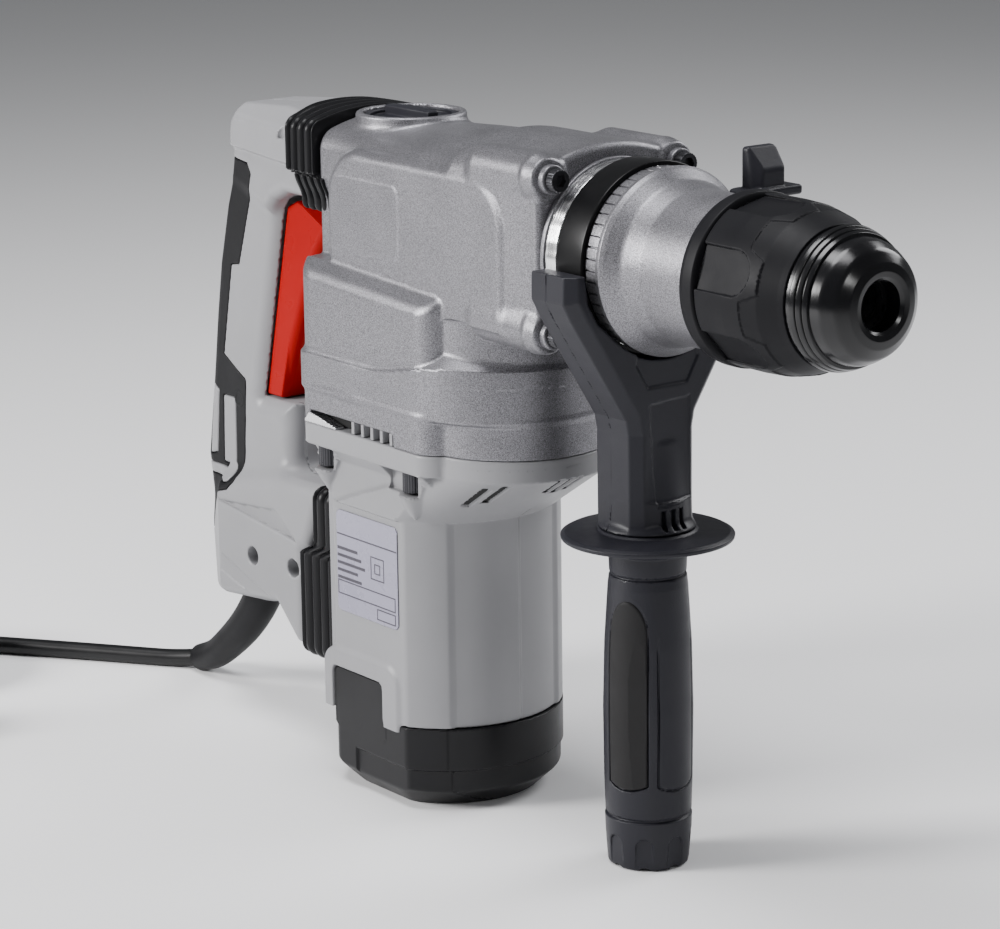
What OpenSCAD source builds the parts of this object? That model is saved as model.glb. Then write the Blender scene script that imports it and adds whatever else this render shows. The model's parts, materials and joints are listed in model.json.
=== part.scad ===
// Rotary hammer with an upright motor, an SDS-max class tool holder, a sprung D-handle and a side handle.
// Tool axis on X with the nose towards +X, up is +Z, origin in the mouth of the tool socket.

/* [Tool holder] */
// Radius of the tool socket
socket_r = 9.05; // [9:0.01:9.2]
// Outer radius of the rubber dust cap
cap_r = 26.9; // [25:0.1:28]
// Outer radius of the locking sleeve
sleeve_r = 31.6; // [30.8:0.1:32]
// Outer radius of the sleeve's rear collar
collar_r = 32.9; // [32.3:0.1:34]

/* [Gear case] */
// Distance from the socket mouth back to the gear case's front face
front_x = 149; // [149:1:150]
// Distance from the socket mouth back to the gear case's rear face
rear_x = 302; // [301:1:304]
// Half width of the upper barrel
barrel_hw = 39; // [38:0.5:40]
// Height of the barrel's crowned top above the tool axis
barrel_top = 40.5; // [40:0.5:42]
// Half width of the lower gear case
case_hw = 46; // [45:0.5:47]
// Wall of the castings
wall = 3.5; // [3:0.5:4]

/* [Motor] */
// Distance from the socket mouth back to the motor axis
motor_x = 259; // [259:1:260]
// Outer radius of the motor housing
motor_r = 46.9; // [46:0.1:48]
// Depth of the lowest face below the tool axis
floor_z = 239; // [237:1:241]

/* [Gears] */
// Gear module
gear_m = 1; // [1:1:1]
// Teeth on the motor pinion
pinion_n = 10; // [10:1:10]
// Teeth on the crank gear
crank_n = 40; // [40:10:40]
// Teeth on the jackshaft gear
jack_n = 24; // [24:1:24]
// Crank throw, half the piston stroke
throw = 13; // [11:1:13]

/* [Side handle] */
// Distance from the socket mouth back to the side handle's axis
side_x = 129; // [128:0.5:130]
// Depth of the hand guard below the tool axis
guard_z = 107.5; // [106:0.5:109]
// Radius of the hand guard
guard_r = 33.5; // [32:0.5:35]
// Radius of the grip
grip_r = 17.6; // [16.5:0.1:18]
// Radius of the depth rod's hole
rod_r = 4.1; // [4:0.1:4.3]

/* [Rear handle] */
// Half width of the hand grip
hand_hw = 17; // [16:0.5:18]
// Half width of the upper and lower arms
arm_hw = 25; // [24:0.5:27]

/* [Cord] */
// Radius of the cord
cord_r = 4; // [3.5:0.1:4]
// Radius at the middle of the coil's turns
coil_r = 44; // [42:1:46]

/* [Hidden] */
$fn = 96;
crank_x = motor_x - gear_m * (pinion_n + crank_n) / 2;
jack_x = crank_x - gear_m * (crank_n + jack_n) / 2;
crown_n = 50;
gear_z = -56;
case_z = -86;
knob_x = -279;
cap_screw_d = 28;
collar_bore = 30.2;
insert_angles = [-70, 110];
case_nose_x = -214;
flat_hw = 40;
flange_screw_x = [-288, -229];
flange_screw_y = 39;
front_screw_y = 30.9;
front_screw_z = [-29, 30];
cap_split_z = -205;
rod_hole_y = 52;
rod_hole_z = 9;
coil_c = [-544, -128];
lead_route = [[-454, 0, -233.5], [-464, -7, -235], [-476, -16, -235], [-496, -30.5, -235], [-516, -45.5, -235],
    [-535, -60, -235], [-551, -73, -235], [-563, -84, -235]];
tail_route = [[-522, -174.5, -211], [-513, -172, -217.5], [-505, -170, -228], [-497, -168.5, -235],
    [-488, -167, -235]];
relief_route = [[-394.5, 0, -178], [-397.5, 0, -187], [-404, 0, -197], [-415, 0, -209],
    [-429, 0, -220.5], [-441, 0, -228.5], [-453.9, 0, -233.5]];

// --- helpers -------------------------------------------------------------------------------------------

module xcyl(x0, x1, r) {
    translate([x0, 0, 0]) rotate([0, 90, 0]) cylinder(h = x1 - x0, r = r);
}
module xtube(x0, x1, r, inner) {
    difference() {
        xcyl(x0, x1, r);
        xcyl(x0 - 1, x1 + 1, inner);
    }
}
module xring(profile) {
    rotate([0, 90, 0]) rotate_extrude() polygon(profile);
}
module ztube(x, y, z0, z1, r, inner) {
    translate([x, y, z0]) difference() {
        cylinder(h = z1 - z0, r = r);
        translate([0, 0, -1]) cylinder(h = z1 - z0 + 2, r = inner);
    }
}
module zcyl(x, y, z0, z1, r) {
    translate([x, y, z0]) cylinder(h = z1 - z0, r = r);
}
// A side outline in X and Z, made as thick as from y0 to y1
module side_plate(points, y0, y1) {
    translate([0, y1, 0]) rotate([90, 0, 0]) linear_extrude(y1 - y0) polygon(points);
}
// Cap screw with its axis on X, head towards +X
module cap_screw_x(length, r, head_r, head_l) {
    rotate([0, 90, 0]) union() {
        translate([0, 0, -length]) cylinder(h = length, r = r);
        difference() {
            cylinder(h = head_l, r = head_r);
            translate([0, 0, head_l - 2.2]) cylinder(h = 3, r = head_r * 0.56, $fn = 6);
        }
    }
}
// Involute function in degrees
function involute(base_r, r) = r <= base_r ? 0 : tan(acos(base_r / r)) * 180 / PI - acos(base_r / r);
function half_angle(n, r, play) = 90 / n - play
    + involute(n * gear_m / 2 * cos(20), n * gear_m / 2) - involute(n * gear_m / 2 * cos(20), r);
function polar(r, a) = [r * cos(a), r * sin(a)];
function flank(n, root_r, tip_r, play) = [for (i = [0:4]) let (r = root_r + (tip_r - root_r) * i / 4)
    [r, half_angle(n, r, play)]];
module gear_2d(n, root_r, tip_r, play, phase) {
    side = flank(n, root_r, tip_r, play);
    polygon([for (k = [0:n - 1]) each concat(
        [for (i = [0:4]) polar(side[i][0], 360 * k / n + phase - side[i][1])],
        [for (i = [4:-1:0]) polar(side[i][0], 360 * k / n + phase + side[i][1])])]);
}
// Catmull-Rom point between b and c
function blend_point(a, b, c, d, t) = 0.5 * ((2 * b) + (c - a) * t + (2 * a - 5 * b + 4 * c - d) * t * t
    + (3 * b - a - 3 * c + d) * t * t * t);
function smooth_route(p, steps) = let (n = len(p)) concat([for (i = [0:n - 2]) for (s = [0:steps - 1])
    blend_point(p[max(i - 1, 0)], p[i], p[i + 1], p[min(i + 2, n - 1)], s / steps)], [p[n - 1]]);
function unit(v) = v / norm(v);
// Tube swept along a route; the radius goes from r0 to r1
module swept_tube(route, r0, r1, sides) {
    n = len(route);
    rings = [for (i = [0:n - 1]) let (
        along = unit(route[min(i + 1, n - 1)] - route[max(i - 1, 0)]),
        across = unit(cross(along, [0, 0, 1])),
        over = cross(across, along),
        r = r0 + (r1 - r0) * i / (n - 1))
        for (k = [0:sides - 1]) route[i] + r * (cos(360 * k / sides) * across + sin(360 * k / sides) * over)];
    walls = [for (i = [0:n - 2]) for (k = [0:sides - 1]) let (l = (k + 1) % sides)
        [i * sides + k, (i + 1) * sides + k, (i + 1) * sides + l, i * sides + l]];
    first = [for (k = [0:sides - 1]) k];
    last = [for (k = [sides - 1:-1:0]) (n - 1) * sides + k];
    polyhedron(points = rings, faces = concat(walls, [first, last]));
}

// --- gear case -----------------------------------------------------------------------------------------

// Barrel section across X, with y across and z up; the inner one is a wall smaller
module barrel_section(t) {
    w = barrel_hw - t;
    top = barrel_top - t;
    polygon([[-w, -34 + t], [-w, 24], [-w + 5, 32 - t], [-16, top - 1], [0, top], [16, top - 1],
        [w - 5, 32 - t], [w, 24], [w, -34 + t]]);
}
module barrel(x0, x1, t) {
    translate([x0, 0, 0]) rotate([90, 0, 90]) linear_extrude(x1 - x0) barrel_section(t);
}
// Lower case seen from above: a square back end and a round front end
module case_plan(t) {
    hull() {
        translate([case_nose_x, 0]) circle(r = 39.5 - t);
        for (s = [-1, 1]) {
            translate([-234, s * (case_hw - 12)]) circle(r = 12 - t);
            translate([-rear_x + 20, s * (case_hw - 20)]) circle(r = 20 - t);
        }
    }
}
module gear_case_shell() {
    difference() {
        union() {
            barrel(-rear_x, -front_x, 0);
            translate([0, 0, case_z]) linear_extrude(-24 - case_z) case_plan(0);
        }
        barrel(-rear_x + wall, -front_x - wall, wall);
        translate([0, 0, case_z - 1]) linear_extrude(-28 - case_z) case_plan(wall);
        translate([0, 0, -35]) linear_extrude(12) intersection() {
            case_plan(wall);
            translate([-rear_x + wall, -barrel_hw + wall]) square([150, 2 * (barrel_hw - wall)]);
        }
    }
}
module gear_housing() {
    color([0.66, 0.66, 0.67]) difference() {
        union() {
            gear_case_shell();
            translate([knob_x, 0, 30.5]) cylinder(h = 8.5, r = 22.5);
        }
        xcyl(-front_x - 10, -front_x + 1, 30);
        translate([knob_x, 0, 34]) cylinder(h = 12, r = 19.6);
        translate([knob_x, 0, 26]) cylinder(h = 16, r = 5.9);
        for (y = [-front_screw_y, front_screw_y]) for (z = front_screw_z)
            translate([-front_x - 12, y, z]) rotate([0, 90, 0]) cylinder(h = 13, r = 2.5);
        for (z = [10, 22]) for (y = [-16, 16])
            translate([-rear_x - 1, y, z]) rotate([0, 90, 0]) cylinder(h = 6, r = 2);
        translate([-286, -52, case_z - 1]) cube([55, 12, 8]);
    }
}

// --- front neck ----------------------------------------------------------------------------------------

module front_neck() {
    color([0.66, 0.66, 0.67]) difference() {
        union() {
            xcyl(-front_x, -front_x + 9, 34.6);
            xcyl(-front_x + 9, -114.8, 33.6);
            xring([[20, -122], [34.4, -122], [34.4, -116.5], [35.8, -115.2], [35.3, -114.2], [33, -110],
                [31, -105], [29.6, -99], [28.9, -92], [28.6, -86], [28.6, -74.6], [28, -74], [20, -74]]);
            translate([-front_x, 0, 0]) rotate([90, 0, 90]) linear_extrude(3.4)
                for (y = [-front_screw_y, front_screw_y]) for (z = front_screw_z) hull() {
                    translate([y, z]) circle(r = 5);
                    translate([0.72 * y, 0.72 * z]) circle(r = 7);
                }
        }
        xcyl(-front_x - 1, -120, 29);
        xcyl(-121, -98, 25.2);
        xcyl(-99, -73, 20.3);
        xcyl(-83, -73, 24);
        for (y = [-front_screw_y, front_screw_y]) for (z = front_screw_z)
            translate([-front_x - 1, y, z]) rotate([0, 90, 0]) cylinder(h = 6, r = 2.6);
    }
}
module front_screws() {
    color([0.1, 0.1, 0.11]) for (y = [-front_screw_y, front_screw_y]) for (z = front_screw_z)
        translate([-front_x + 3.5, y, z]) cap_screw_x(14, 2.45, 4.2, 4);
}
module nose_bearing() {
    color([0.7, 0.7, 0.72]) xtube(-115, -100, 25.1, 19.55);
}
module oil_seal() {
    color([0.08, 0.08, 0.08]) xtube(-82, -75, 23.9, 17.8);
}
module cylinder_sleeve() {
    color([0.72, 0.72, 0.74]) difference() {
        union() {
            xcyl(-212, -122, 17);
            xcyl(-160, -150, 29.8);
        }
        xcyl(-213, -121, 14);
        for (a = [0:45:315]) rotate([a, 0, 0])
            translate([-161, 0, 23]) rotate([0, 90, 0]) cylinder(h = 12, r = 2.5);
    }
}

// --- motor ---------------------------------------------------------------------------------------------

module motor_plan(t) {
    difference() {
        translate([-motor_x, 0]) circle(r = motor_r - t);
        for (s = [-1, 1]) translate([-motor_x, s * (flat_hw - t + 10)]) square([120, 20], center = true);
    }
}
module motor_housing() {
    color([0.78, 0.78, 0.8]) difference() {
        union() {
            translate([0, 0, cap_split_z]) linear_extrude(110 - 0.1) motor_plan(0);
            translate([0, 0, -100]) linear_extrude(-100 * -1 + case_z) case_plan(0.3);
            translate([-rear_x - 4.4, -30, -198]) cube([24, 60, 84]);
        }
        translate([0, 0, cap_split_z - 1]) linear_extrude(122) motor_plan(wall);
        translate([0, 0, -97]) linear_extrude(20) case_plan(wall);
        translate([-rear_x - 8, -26, -194]) cube([20, 52, 76]);
        for (x = flange_screw_x) for (s = [-1, 1])
            translate([x, s * flange_screw_y, -101]) cylinder(h = 20, r = 2.1);
        for (x = flange_screw_x) for (s = [-1, 1])
            translate([x, s * flange_screw_y, -112]) cylinder(h = 12.05, r = 4.4);
    }
}
module motor_end_cap() {
    color([0.09, 0.09, 0.1]) difference() {
        union() {
            translate([0, 0, -floor_z + 9]) linear_extrude(cap_split_z + floor_z - 9) motor_plan(0.2);
            translate([-motor_x, 0, -floor_z]) cylinder(h = 9.1, r1 = 33, r2 = flat_hw - 0.3);
        }
        translate([0, 0, -floor_z + 6]) linear_extrude(60) motor_plan(wall + 4);
        for (s = [-1, 1]) translate([-motor_x + s * cap_screw_d, 0, -floor_z - 1]) cylinder(h = 12, r = 3.2);
        for (s = [-1, 1]) translate([-motor_x + s * cap_screw_d, 0, -floor_z - 1]) cylinder(h = 60, r = 1.9);
        for (k = [-3:3]) translate([-motor_x + k * 7 - 1.5, -60, -floor_z + 12]) cube([3, 120, 15]);
    }
}
module cap_screws() {
    color([0.12, 0.12, 0.13]) for (s = [-1, 1]) translate([-motor_x + s * cap_screw_d, 0, -floor_z + 5]) {
        cylinder(h = 6, r = 3.1);
        cylinder(h = 28, r = 1.8);
    }
}
module flange_screws() {
    color([0.1, 0.1, 0.11]) for (x = flange_screw_x) for (s = [-1, 1])
        translate([x, s * flange_screw_y, -100]) {
        cylinder(h = 13.5, r = 2.05);
        translate([0, 0, -5]) cylinder(h = 5, r = 4);
    }
}
module stator_core() {
    color([0.45, 0.45, 0.47]) difference() {
        translate([0, 0, -172]) linear_extrude(60) motor_plan(wall + 0.1);
        translate([-motor_x, 0, -173]) cylinder(h = 62, r = 25);
        for (s = [-1, 1]) translate([-motor_x + s * 30 - 6, -20, -173]) cube([12, 40, 62]);
    }
}
module stator_windings() {
    color([0.62, 0.3, 0.14]) for (s = [-1, 1]) difference() {
        translate([-motor_x + s * 30 - 5.8, -19.8, -179]) cube([11.6, 39.6, 74]);
        translate([-motor_x + s * 30 - 7, -13, -171]) cube([14, 26, 58]);
        translate([-motor_x, 0, -180]) cylinder(h = 76, r = 25);
    }
    color([0.5, 0.5, 0.52]) for (s = [-1, 1])
        translate([-motor_x + s * 30 - 4, -12.9, -170.9]) cube([9, 25.8, 57.8]);
}
module armature_core() {
    color([0.5, 0.5, 0.52]) ztube(-motor_x, 0, -172, -112, 24.4, 6.05);
}
module armature_shaft() {
    color([0.68, 0.68, 0.7]) union() {
        zcyl(-motor_x, 0, -222, -63, 6);
        translate([-motor_x, 0, -63.5]) linear_extrude(19.5) gear_2d(pinion_n, 3.7, 5.9, 1.0, 0);
    }
}
module commutator() {
    color([0.72, 0.42, 0.2]) difference() {
        translate([-motor_x, 0, -203]) cylinder(h = 19, r = 14);
        translate([-motor_x, 0, -204]) cylinder(h = 21, r = 6.05);
        for (a = [0:15:345]) translate([-motor_x, 0, -204]) rotate([0, 0, a]) translate([13, -0.3, 0])
            cube([2, 0.6, 21]);
    }
}
module cooling_fan() {
    color([0.13, 0.13, 0.14]) {
        ztube(-motor_x, 0, -103, -90.5, 9, 6.05);
        ztube(-motor_x, 0, -103, -101, 34.5, 8.9);
        for (a = [0:24:336]) translate([-motor_x, 0, -101.5]) rotate([0, 0, a])
            translate([12, -0.7, 0]) cube([22, 1.4, 10.5]);
    }
}
module air_baffle() {
    color([0.15, 0.15, 0.16]) translate([0, 0, -107]) linear_extrude(2.5) difference() {
        motor_plan(wall + 0.1);
        translate([-motor_x, 0]) circle(r = 30);
        for (s = [-1, 1]) translate([-motor_x + s * 30 - 6.5, -20.5]) square([13, 41]);
    }
}
module bearing_plate() {
    color([0.6, 0.6, 0.62]) difference() {
        union() {
            translate([0, 0, -85]) linear_extrude(5) case_plan(wall + 0.2);
            zcyl(-motor_x, 0, -85, -64, 16);
            zcyl(-crank_x, 0, -85, -62.5, 15.5);
            zcyl(-jack_x, 0, -85, -62.5, 10.5);
            for (x = flange_screw_x) for (s = [-1, 1]) zcyl(x, s * (flange_screw_y - 4), -85, -72, 5);
        }
        zcyl(-motor_x, 0, -77, -60, 12.05);
        zcyl(-motor_x, 0, -90, -60, 8);
        zcyl(-crank_x, 0, -76, -60, 11.95);
        zcyl(-jack_x, 0, -71, -60, 7.5);
        for (x = flange_screw_x) for (s = [-1, 1]) translate([x, s * flange_screw_y, -86])
            cylinder(h = 16, r = 2.1);
        translate([-290, -52, -86]) cube([66, 15, 10]);
    }
}
module motor_bearings() {
    color([0.72, 0.72, 0.75]) {
        ztube(-motor_x, 0, -77, -65, 12, 6.05);
        ztube(-motor_x, 0, -220, -211, 11, 6.05);
    }
    color([0.09, 0.09, 0.1]) ztube(-motor_x, 0, -231, -206, 15, 11);
}
module crank_bearing() {
    color([0.72, 0.72, 0.75]) {
        ztube(-crank_x, 0, -76, -63, 11.9, 7.05);
        ztube(-jack_x, 0, -71, -63, 7.45, 4.05);
    }
}
module brush_holders() {
    color([0.6, 0.5, 0.25]) for (s = [-1, 1]) difference() {
        translate([-motor_x, s * 25.2, -194]) cube([12, 18, 12], center = true);
        translate([-motor_x, s * 25.2, -194]) cube([7.2, 24, 8], center = true);
    }
    color([0.1, 0.1, 0.11]) for (s = [-1, 1]) difference() {
        translate([-motor_x, s * 35.3, -194]) cube([16, 2.2, 13], center = true);
        translate([-motor_x, s * 32, -194]) rotate([-s * 90, 0, 0]) cylinder(h = 6, r = 2);
    }
}
module carbon_brushes() {
    color([0.16, 0.16, 0.17]) for (s = [-1, 1])
        translate([-motor_x, s * 22.4, -194]) cube([7, 16.4, 7.8], center = true);
}
module rating_label() {
    color([0.82, 0.82, 0.88]) translate([-280, -flat_hw - 0.5, -164]) cube([42, 0.5, 43]);
}

// --- gear train ----------------------------------------------------------------------------------------

module crank_gear() {
    color([0.62, 0.62, 0.64]) union() {
        translate([-crank_x, 0, gear_z]) linear_extrude(10) gear_2d(crank_n, 18.3, 20.7, 0.28, 4.5);
        zcyl(-crank_x, 0, -75.6, -34, 7);
        zcyl(-crank_x, 0, -42, -34, 20);
        zcyl(-crank_x - throw, 0, -35, -9, 5);
    }
}
module jackshaft() {
    color([0.62, 0.62, 0.64]) union() {
        translate([-jack_x, 0, gear_z]) linear_extrude(10) gear_2d(jack_n, 10.6, 12.8, 0.5, 0);
        zcyl(-jack_x, 0, -71, -22, 4);
        translate([-jack_x, 0, -31]) linear_extrude(10) gear_2d(10, 3.6, 5.9, 1.0, 0);
    }
}
module crown_gear() {
    color([0.62, 0.62, 0.64]) union() {
        xtube(-jack_x + 6.1, -jack_x + 14, 27.5, 17.05);
        for (k = [0:crown_n - 1]) rotate([(k + 0.5) * 360 / crown_n, 0, 0]) translate([-jack_x + 6.3, 0, -26.6])
            linear_extrude(3.2) polygon([[0, -0.85], [0, 0.85], [-2, 0.25], [-2, -0.25]]);
    }
}
module piston() {
    color([0.7, 0.7, 0.73]) difference() {
        xcyl(-212.5, -187, 13.95);
        xcyl(-213, -190, 10.5);
        translate([-201, 0, -20]) cylinder(h = 40, r = 3.95);
        xtube(-190.1, -188.5, 15, 13);
    }
}
module wrist_pin() {
    color([0.75, 0.75, 0.77]) zcyl(-201, 0, -12.8, 12.8, 3.95);
}
module connecting_rod() {
    color([0.6, 0.6, 0.63]) difference() {
        union() {
            zcyl(-247, 0, -8, 8, 10);
            zcyl(-201, 0, -6, 6, 7.6);
            translate([-247, -4.5, -5]) cube([46, 9, 10]);
        }
        zcyl(-247, 0, -9, 9, 5.8);
        zcyl(-201, 0, -9, 9, 3.95);
    }
}
module striker() {
    color([0.7, 0.7, 0.72]) difference() {
        union() {
            xcyl(-150, -130, 13.92);
            xcyl(-130.5, -117.5, 8);
        }
        xtube(-145, -142, 15, 12.4);
    }
}
module striker_ring() {
    color([0.08, 0.08, 0.08]) xtube(-144.9, -142.1, 13.9, 12.45);
}
module impact_bolt() {
    color([0.7, 0.7, 0.72]) union() {
        xcyl(-117, -104, 8);
        xcyl(-105, -86, 12.4);
        xcyl(-87, -73, 9.8);
    }
}

// --- tool holder ---------------------------------------------------------------------------------------

module tool_holder() {
    color([0.6, 0.6, 0.62]) difference() {
        union() {
            xcyl(-119, -84, 19.5);
            xcyl(-85, -8.05, 17.5);
        }
        xcyl(-120, -7, socket_r);
        xcyl(-120, -78, 12.5);
        xcyl(-120, -66, 10);
        for (s = [-1, 1]) translate([-37, s * 13, 0]) cube([18, 14, 8], center = true);
    }
}
module lock_rollers() {
    color([0.72, 0.72, 0.74]) for (s = [-1, 1]) translate([-44, s * 13.4, 0]) rotate([0, 90, 0])
        cylinder(h = 14, r = 3.8);
}
module dust_cap() {
    color([0.05, 0.05, 0.055]) xring([[socket_r, 0], [12.5, -0.4], [17, -2.8], [20.8, -7], [23, -12],
        [24.4, -18], [25, -21], [cap_r, -21.4], [cap_r, -24], [25.4, -24.6], [25.4, -26], [17.55, -26], [17.55, -8],
        [socket_r, -8]]);
}
module sleeve_spring() {
    color([0.7, 0.7, 0.72]) for (i = [0:3]) xtube(-57 + i * 5, -55 + i * 5, 21.5, 19);
}
module lock_sleeve() {
    color([0.1, 0.1, 0.11]) difference() {
        union() {
            xring([[20, -26.6], [27, -26.6], [28.6, -29], [28.6, -30.4], [29.4, -31], [30, -33.6], [30, -64.5],
                [20, -64.5]]);
            intersection() {
                xring([[20, -33], [sleeve_r, -38], [sleeve_r, -64.5], [20, -64.5]]);
                rotate([0, 90, 0]) translate([0, 0, -70])
                    cylinder(h = 40, r = sleeve_r / cos(22.5) - 1.2, $fn = 8);
            }
        }
        xcyl(-80, -38, 29.4);
        xcyl(-39, -25, 17.9);
        xcyl(-58, -30, 22);
    }
}
module rear_collar() {
    color([0.08, 0.08, 0.09]) xtube(-72.5, -64.6, collar_r, collar_bore);
}
module mode_knob() {
    color([0.08, 0.08, 0.085]) union() {
        translate([knob_x, 0, 34.4]) cylinder(h = 3.4, r = 19.2);
        translate([knob_x, 0, 28]) cylinder(h = 7, r = 5.5);
        translate([knob_x - 17, -4, 37]) cube([34, 8, 4.4]);
    }
}

// --- rear handle ---------------------------------------------------------------------------------------

top_arm = [[-337, 33], [-342, 36], [-390, 32.5], [-399, 24], [-400.5, 0], [-352, -6], [-337, 0]];
grip_back = [[-398.5, 10], [-401, -36], [-421, -126], [-419, -156], [-413, -188], [-372, -186]];
grip_front = [[-349, -128], [-349, -116], [-371, -93], [-352, -8], [-352, 4]];
grip_side = concat(grip_back, grip_front);
low_arm = [[-413, -188], [-416, -160], [-395, -136], [-352, -124], [-322, -124], [-322, -146], [-330, -153],
    [-330, -193], [-347, -182]];
// Inner walls of the hand grip, a shell's thickness inside it
grip_hollow = [[-394, 14], [-395, -36], [-414, -126], [-412, -156], [-407, -182], [-376, -180], [-356, -128],
    [-356, -118], [-377, -93], [-359, -8], [-359, 14]];
top_hollow = [[-330, 28], [-388, 28], [-394, 20], [-394, 4], [-352, -1], [-330, 5]];
low_hollow = [[-407, -182], [-410, -160], [-392, -140], [-352, -128], [-316, -128], [-316, -142], [-326, -156],
    [-326, -184], [-347, -178]];
rubber_strip = [[-401.2, -38], [-421, -126], [-419, -154], [-414, -154], [-415.8, -126], [-396, -38]];
handle_screw_spots = [[-388, 20], [-388, -120], [-372, -164], [-342, -164]];

module handle_body(s) {
    y0 = s < 0 ? -1 : 0;
    difference() {
        union() {
            side_plate(top_arm, y0 * arm_hw, (y0 + 1) * arm_hw);
            side_plate(grip_side, y0 * hand_hw, (y0 + 1) * hand_hw);
            side_plate(low_arm, y0 * arm_hw, (y0 + 1) * arm_hw);
        }
        side_plate(top_hollow, -arm_hw + 3, arm_hw - 3);
        side_plate(grip_hollow, -hand_hw + 3, hand_hw - 3);
        side_plate(low_hollow, -arm_hw + 3, arm_hw - 3);
        side_plate([[-349, -118], [-372, -93.4], [-353, -3.5], [-345, -3.5], [-345, -93], [-340, -120]], -12.6, 12.6);
        side_plate([[-378.6, -93.2], [-361, -3.5], [-345, -3.5], [-345, -95]], -12.6, 12.6);
        side_plate([[-403, -38], [-425, -126], [-425, -154], [-413.8, -154.2], [-415.6, -126], [-395.8, -37.8]],
            -hand_hw - 1, hand_hw + 1);
        zcyl(-396, 0, -195, -176, 9.6);
        for (p = handle_screw_spots) translate([p[0], 0, p[1]]) rotate([90, 0, 0]) {
            translate([0, 0, -40]) cylinder(h = 80, r = 2);
            translate([0, 0, 12.2]) cylinder(h = 40, r = 4);
        }
    }
}
module handle_right() {
    color([0.78, 0.78, 0.8]) handle_body(-1);
}
module handle_left() {
    color([0.78, 0.78, 0.8]) handle_body(1);
}
module grip_rubber() {
    color([0.07, 0.07, 0.075]) side_plate(rubber_strip, -hand_hw, hand_hw);
}
module handle_screws() {
    color([0.12, 0.12, 0.13]) for (p = handle_screw_spots) translate([p[0], 0, p[1]]) rotate([90, 0, 0]) {
        translate([0, 0, -12]) cylinder(h = 25, r = 1.9);
        translate([0, 0, 12.4]) cylinder(h = 2.4, r = 3.8);
    }
}
module switch_module() {
    color([0.2, 0.2, 0.22]) union() {
        translate([-394, -13.9, -74]) cube([13, 27.8, 32]);
        translate([-381.5, -3, -56]) cube([3, 6, 6]);
    }
}
module strain_relief() {
    color([0.08, 0.08, 0.085]) union() {
        swept_tube(smooth_route(relief_route, 2), 8.4, 5.2, 12);
    }
}
module damper_springs() {
    color([0.7, 0.7, 0.72]) for (y = [-16, 16]) for (i = [0:4]) translate([-333 + i * 5.6, y, 16])
        rotate([0, 90, 0]) difference() {
            cylinder(h = 2.4, r = 5.5);
            translate([0, 0, -1]) cylinder(h = 5, r = 3.5);
        }
}
module upper_bellows() {
    color([0.06, 0.06, 0.065]) difference() {
        union() {
            for (i = [0:3]) translate([-336.5 + i * 8.8, -arm_hw - 6, -2]) cube([5, 2 * arm_hw + 12, 39.5]);
            translate([-336.5, -arm_hw - 3, 0.5]) cube([34.2, 2 * arm_hw + 6, 35]);
        }
        translate([-340, -arm_hw, 3.5]) cube([40, 2 * arm_hw, 29]);
    }
}
module lower_bellows() {
    color([0.06, 0.06, 0.065]) difference() {
        union() {
            for (i = [0:2]) translate([-329.6 + i * 7.6, -32, -198]) cube([4, 64, 74]);
            translate([-329.6, -29, -195]) cube([22.8, 58, 68]);
        }
        translate([-331, -25.5, -191.5]) cube([30, 51, 61]);
        side_plate([[-340, -120], [-321.6, -120], [-321.6, -146.4], [-329.6, -153.5], [-329.6, -200], [-340, -200]],
            -40, 40);
    }
}
module trigger() {
    color([0.78, 0.1, 0.06]) union() {
        side_plate([[-371.5, -92.5], [-353, -9], [-346, -5], [-331, -12], [-322, -28], [-333, -40],
            [-347, -90]], -12, 12);
        side_plate([[-371.6, -66], [-371.6, -44], [-356, -44], [-362, -66]], -6, 6);
    }
}

// --- side handle ---------------------------------------------------------------------------------------

module clamp_band() {
    color([0.05, 0.05, 0.055]) union() {
        difference() {
            xcyl(-side_x - 7.5, -side_x + 6.8, 36.2);
            xcyl(-side_x - 8.5, -side_x + 7.8, 33.9);
            translate([-side_x - 10, -6, -50]) cube([20, 12, 30]);
        }
        for (s = [-1, 1]) translate([-side_x - 7.5, s * 6 - 1.2, -46]) cube([14.3, 2.4, 12.4]);
        difference() {
            translate([-side_x - 7.5, -7.2, -47]) cube([14.3, 14.4, 3]);
            zcyl(-side_x, 0, -48, -43, 4.3);
        }
    }
}
// Yoke seen along the tool axis
yoke_half = [[0, -60], [0, -49], [14, -46], [26, -36.4], [33, -27], [37.6, -16], [38.6, 0], [46, 1], [46.4, -12],
    [44, -19], [17, -60], [15.6, -66], [15.4, -104], [0, -104]];
module side_yoke() {
    color([0.09, 0.09, 0.1]) difference() {
        union() {
            translate([-side_x - 11.8, 0, 0]) rotate([90, 0, 90]) linear_extrude(23.8) union() {
                polygon(yoke_half);
                mirror([1, 0]) polygon(yoke_half);
            }
            translate([-side_x - 11, 40, -3]) cube([22, 24, 19]);
            translate([-side_x, 0, -104]) cylinder(h = 6, r = 17);
        }
        xcyl(-side_x - 20, -side_x + 20, 36.6);
        translate([-side_x, 0, -120]) cylinder(h = 90, r = 5.1);
        translate([-side_x - 8, -8, -50]) cube([16, 16, 8]);
        translate([-side_x - 20, rod_hole_y, rod_hole_z]) rotate([0, 90, 0]) cylinder(h = 40, r = rod_r);
        translate([-side_x, rod_hole_y, rod_hole_z]) cylinder(h = 20, r = 3.1);
    }
}
module handle_bolt() {
    color([0.6, 0.6, 0.62]) union() {
        translate([-side_x - 6, -4.6, -43.9]) cube([12, 9.2, 3.4]);
        zcyl(-side_x, 0, -140, -43.8, 4);
    }
}
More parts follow.
